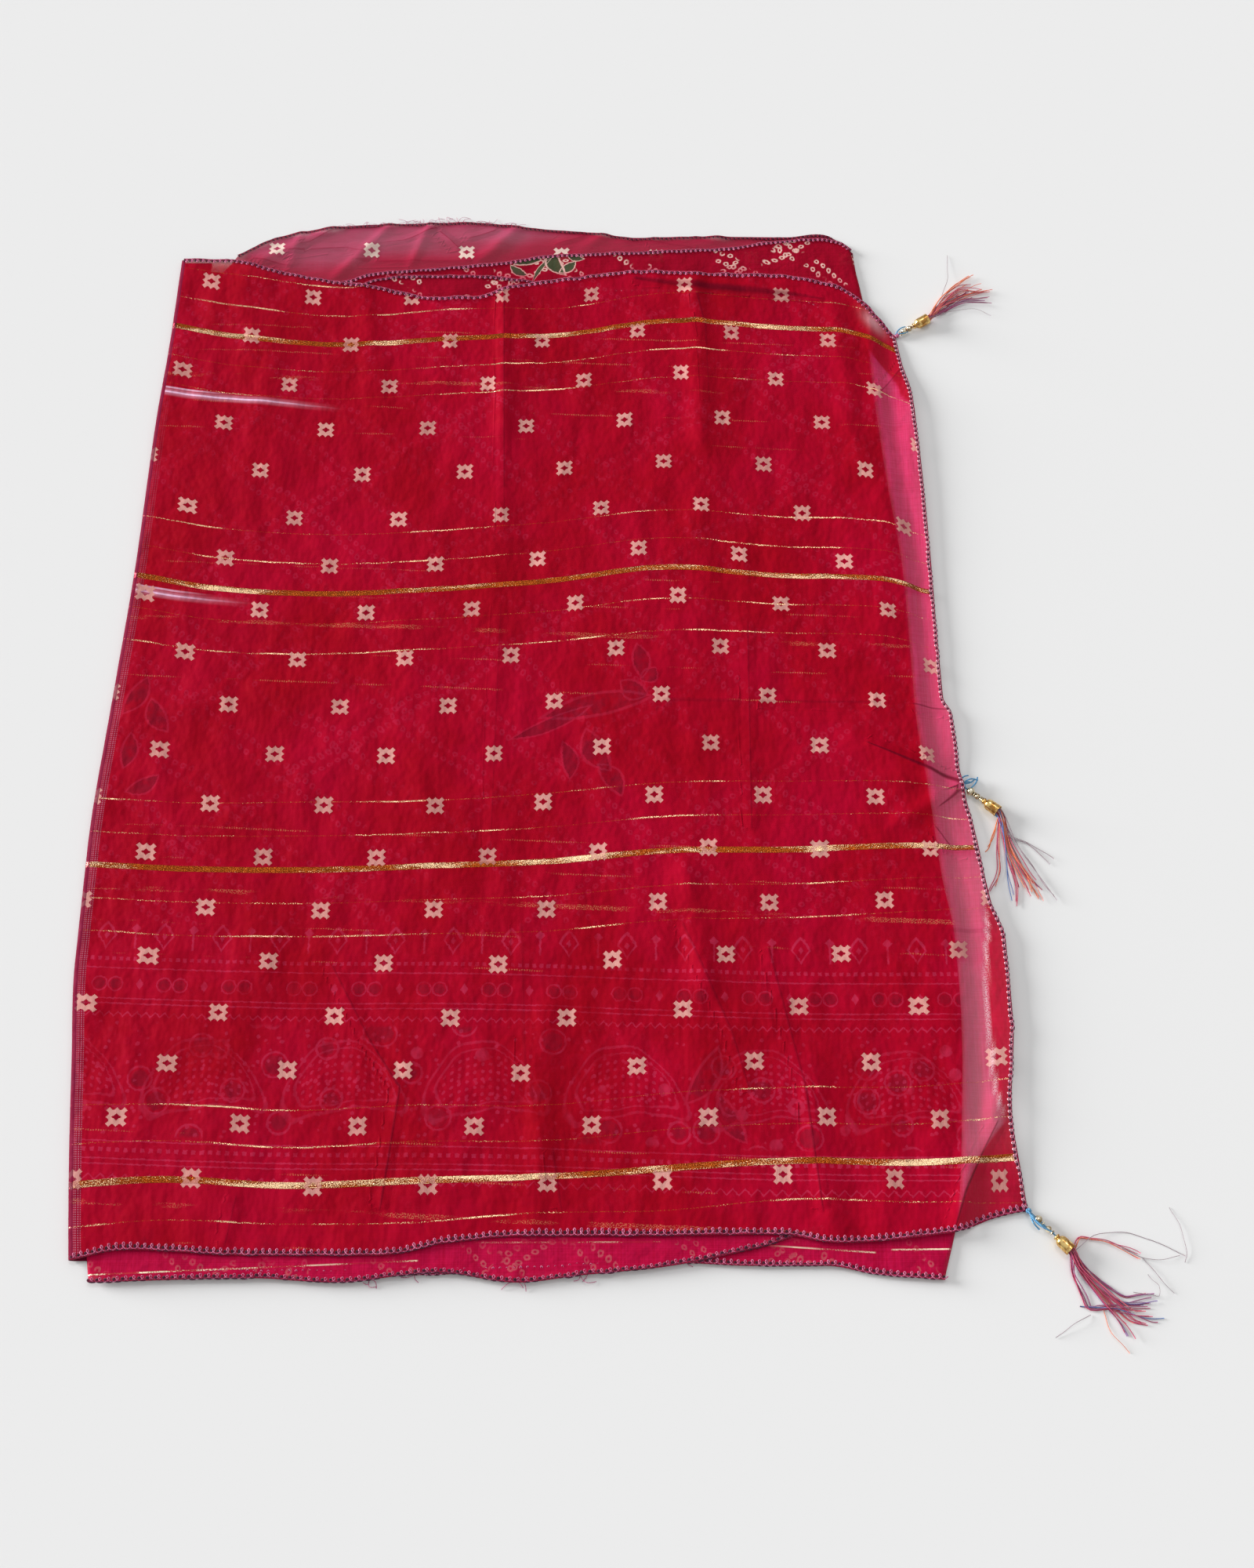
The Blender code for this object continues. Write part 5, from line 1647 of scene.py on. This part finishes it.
# %% Make the tufts
def wisp_paths(row, way, count, spread, rng, steps=26):
    """Centre lines (thread, step, 3): the wisp's way through its points, plus the thread's
    own offset across it, which grows evenly to the spread, plus a wave that grows to the tip.
    From the cap's mouth the height sinks by a smooth step to where the thread rests."""
    origin, along, side, up = tassel_axes(row)
    root_at, mouth_at = row["cap_at"] + CAP_LENGTH / 2 - ROOT_DEPTH, row["cap_at"] + CAP_LENGTH / 2
    root, mouth = origin + along * root_at, origin + along * mouth_at
    from_mouth = math.hypot(way[0][0] - mouth[0], way[0][1] - mouth[1]) < 9.0
    if from_mouth:
        way = (tuple(root[:2]), tuple(mouth[:2] + along[:2] * 1.5)) + tuple(way[1:])
    middle = smooth_profile(way, 60)
    middle = np.concatenate([middle, np.zeros((60, 1))], axis=1)
    length = np.linalg.norm(np.diff(middle, axis=0), axis=1).sum()
    line = resample(middle, length / (steps - 1.5))[0][:steps]
    t = np.linspace(0.0, 1.0, len(line))[None, :]
    ahead = np.gradient(line, axis=0)
    ahead /= np.linalg.norm(ahead, axis=1, keepdims=True)
    across = np.stack([-ahead[:, 1], ahead[:, 0], 0 * ahead[:, 0]], axis=1)
    own = rng.uniform(-1, 1, (count, 1)) * spread * t
    wave = rng.normal(0, 0.9, (count, 1)) * np.sin(t * rng.uniform(6, 13, (count, 1))
                                                   + rng.uniform(0, 6, (count, 1))) * t
    aside = own + wave
    reach = rng.uniform(0.80, 1.0, (count, 1)) if count > 1 else np.ones((1, 1))
    at = t * reach * (len(line) - 1)
    low = np.clip(at.astype(int), 0, len(line) - 2)
    part = (at - low)[..., None]
    paths = line[low] * (1 - part) + line[low + 1] * part
    paths = paths + across[low] * aside[..., None]
    rest = rng.uniform(0.45, 2.6, (count, 1)) + rng.normal(0, 0.4, (count, 1)) * np.sin(6 * t)
    if from_mouth:
        turn = rng.uniform(0, 2 * math.pi, count)
        out = MOUTH_SPREAD * np.sqrt(rng.uniform(0, 1, count))
        fade = 1 - smooth_step(0.0, 0.45, t)
        paths = paths + side * (out * np.cos(turn))[:, None, None] * fade[..., None]
        high = (root[2] + out * np.sin(turn))[:, None]
        paths[..., 2] = high * fade + np.maximum(rest, 0.3) * (1 - fade)
    else:
        paths[..., 2] = np.maximum(rest, 0.3) * (0.4 + 0.9 * np.sin(math.pi * t))
    return paths


def head_plug(row):
    """The bound head of the tuft inside the cap: a short closed barrel."""
    end = row["cap_at"] + CAP_LENGTH / 2 - 1.8
    profile = [(0.0, end - 4.6), (2.6, end - 4.4), (3.3, end - 3.0), (3.2, end - 0.6), (0.0, end)]
    return turned(row, profile, 16, False)


def make_tuft(row):
    """All the wisps of a tassel and its bound head as one piece, with a tint for each thread."""
    rng = np.random.default_rng(row["seed"])
    parts, tints = [], []
    for way, count, spread, tint in row["wisps"]:
        paths = wisp_paths(row, way, count, spread, rng)
        steps = paths.shape[1]
        thin = STRAY_RADIUS if count == 1 else WISP_RADIUS
        thick = rng.uniform(0.85, 1.15, (count, 1)) * thin * np.linspace(1.0, 0.8, steps)[None, :]
        paths[..., 2] = np.maximum(paths[..., 2], THREAD_LOW)
        points, faces = tubes(paths, thick, 4)
        parts.append((points, faces))
        own = tint if tint == GREY else np.clip(tint + rng.normal(0, 0.09, count), 0, BLUE)
        tints.append(np.repeat(np.broadcast_to(own, count), steps * 4))
    parts.append(head_plug(row))
    all_points, all_faces = joined(parts)
    tint = np.concatenate(tints)
    tint = np.concatenate([tint, np.full(len(all_points) - len(tint), MAROON)])
    tuft = make_piece(row["name"] + "_tuft", all_points, all_faces, tuft_threads,
                      maps={"weave": all_points[:, :2] * MM}, values={"tint": tint})
    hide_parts(row["name"] + "_strands")


for tassel in TASSELS:
    make_tuft(tassel)

# %% [markdown]
# ## Loose ends
# The tassels are tied on with blue thread whose cut ends stick out. A few frayed warp ends
# stand out from the far hem, and cut sewing threads hang at the near ones. They are the
# same tubes on short bowed paths.


# %% Make the loose ends
def bowed(start, stop, bow, rise, steps=14):
    """A path from start to stop that bows sideways and rises in the middle."""
    s = np.linspace(0, 1, steps)[:, None]
    start, stop = np.array(start, float), np.array(stop, float)
    ahead = stop - start
    aside = np.array([-ahead[1], ahead[0], 0.0]) / max(np.hypot(ahead[0], ahead[1]), 1e-6)
    path = start + ahead * s + aside * (bow * np.sin(math.pi * s))
    path[:, 2] += rise * np.sin(math.pi * s[:, 0])
    return path


def loose_threads(name, rows, radius, finish):
    """One piece from many bowed threads of the same radius."""
    paths = np.array([bowed(*row) for row in rows])
    paths[..., 2] = np.maximum(paths[..., 2], radius + 0.05)
    points, faces = tubes(paths, radius, 4)
    make_piece(name, points, faces, finish, maps={"weave": points[..., :2] * MM})


loose_threads("blue_ends", [
    ((262, -1, 4.2), (269, 6, 3.0), 1.5, 1.5), ((262, -2, 4.5), (274, 3, 2.2), -2.0, 1.6),
    ((263, -3, 4.6), (271, -1, 5.2), 1.2, 1.0), ((264, -2, 5.0), (276, 1, 5.4), 2.0, 1.2),
    ((270, -6, 6.0), (276, 4, 4.0), -1.2, 1.0), ((283, -22, 7.0), (294, -31, 1.0), -2.2, 1.0),
    ((289, -337, 4.0), (306, -354, 5.0), -3.4, 1.8), ((289, -338, 4.6), (307, -355, 5.4), -2.4, 2.0),
    ((291, -341, 4.8), (297, -352, 3.0), -1.6, 1.2),
    ((233, 424, 3.8), (242, 434, 2.0), 1.2, 1.2), ((234, 425, 3.8), (244, 428, 3.0), -1.4, 1.0)],
    radius=0.62, finish=tie_blue)

FRAYED, FRAY_COUNT = (-262, -96), 90          # the worn part of the far hem, x in mm
fray_rng = np.random.default_rng(31)
fray = []
for _ in range(FRAY_COUNT):
    x = fray_rng.uniform(*FRAYED)
    y = float(read_edge(BACK_FAR_HEM, np.array([x]))[0])
    far = fray_rng.uniform(1, 8) * math.exp(-((x + 170) / 80) ** 2)
    fray.append(((x, y - 1.0, 1.2), (x + fray_rng.normal(0, 7), y + far, 0.5),
                 fray_rng.normal(0, 1.6), fray_rng.uniform(0.4, 1.6)))
fray_pink = thread_finish("fray_pink", (0.62, 0.24, 0.38), (0.40, 0.06, 0.16), 4.0)
loose_threads("far_fray", fray, radius=0.16, finish=fray_pink)

CUT_ENDS = ((-184, -388), (-152, -385), (-79, -389), (-34, -384), (39, -372), (91, -367),
            (-259, -368), (12, -355), (178, -357), (-102, 460), (66, 486))
ends = []
for x, y in CUT_ENDS:
    for _ in range(3):
        ends.append(((x, y + 1, 1.6), (x + fray_rng.normal(0, 6), y - fray_rng.uniform(-2, 7), 0.8),
                     fray_rng.normal(0, 2.0), fray_rng.uniform(0.4, 2.0)))
loose_threads("cut_ends", ends, radius=0.24, finish=pink_thread)
print("loose ends made")
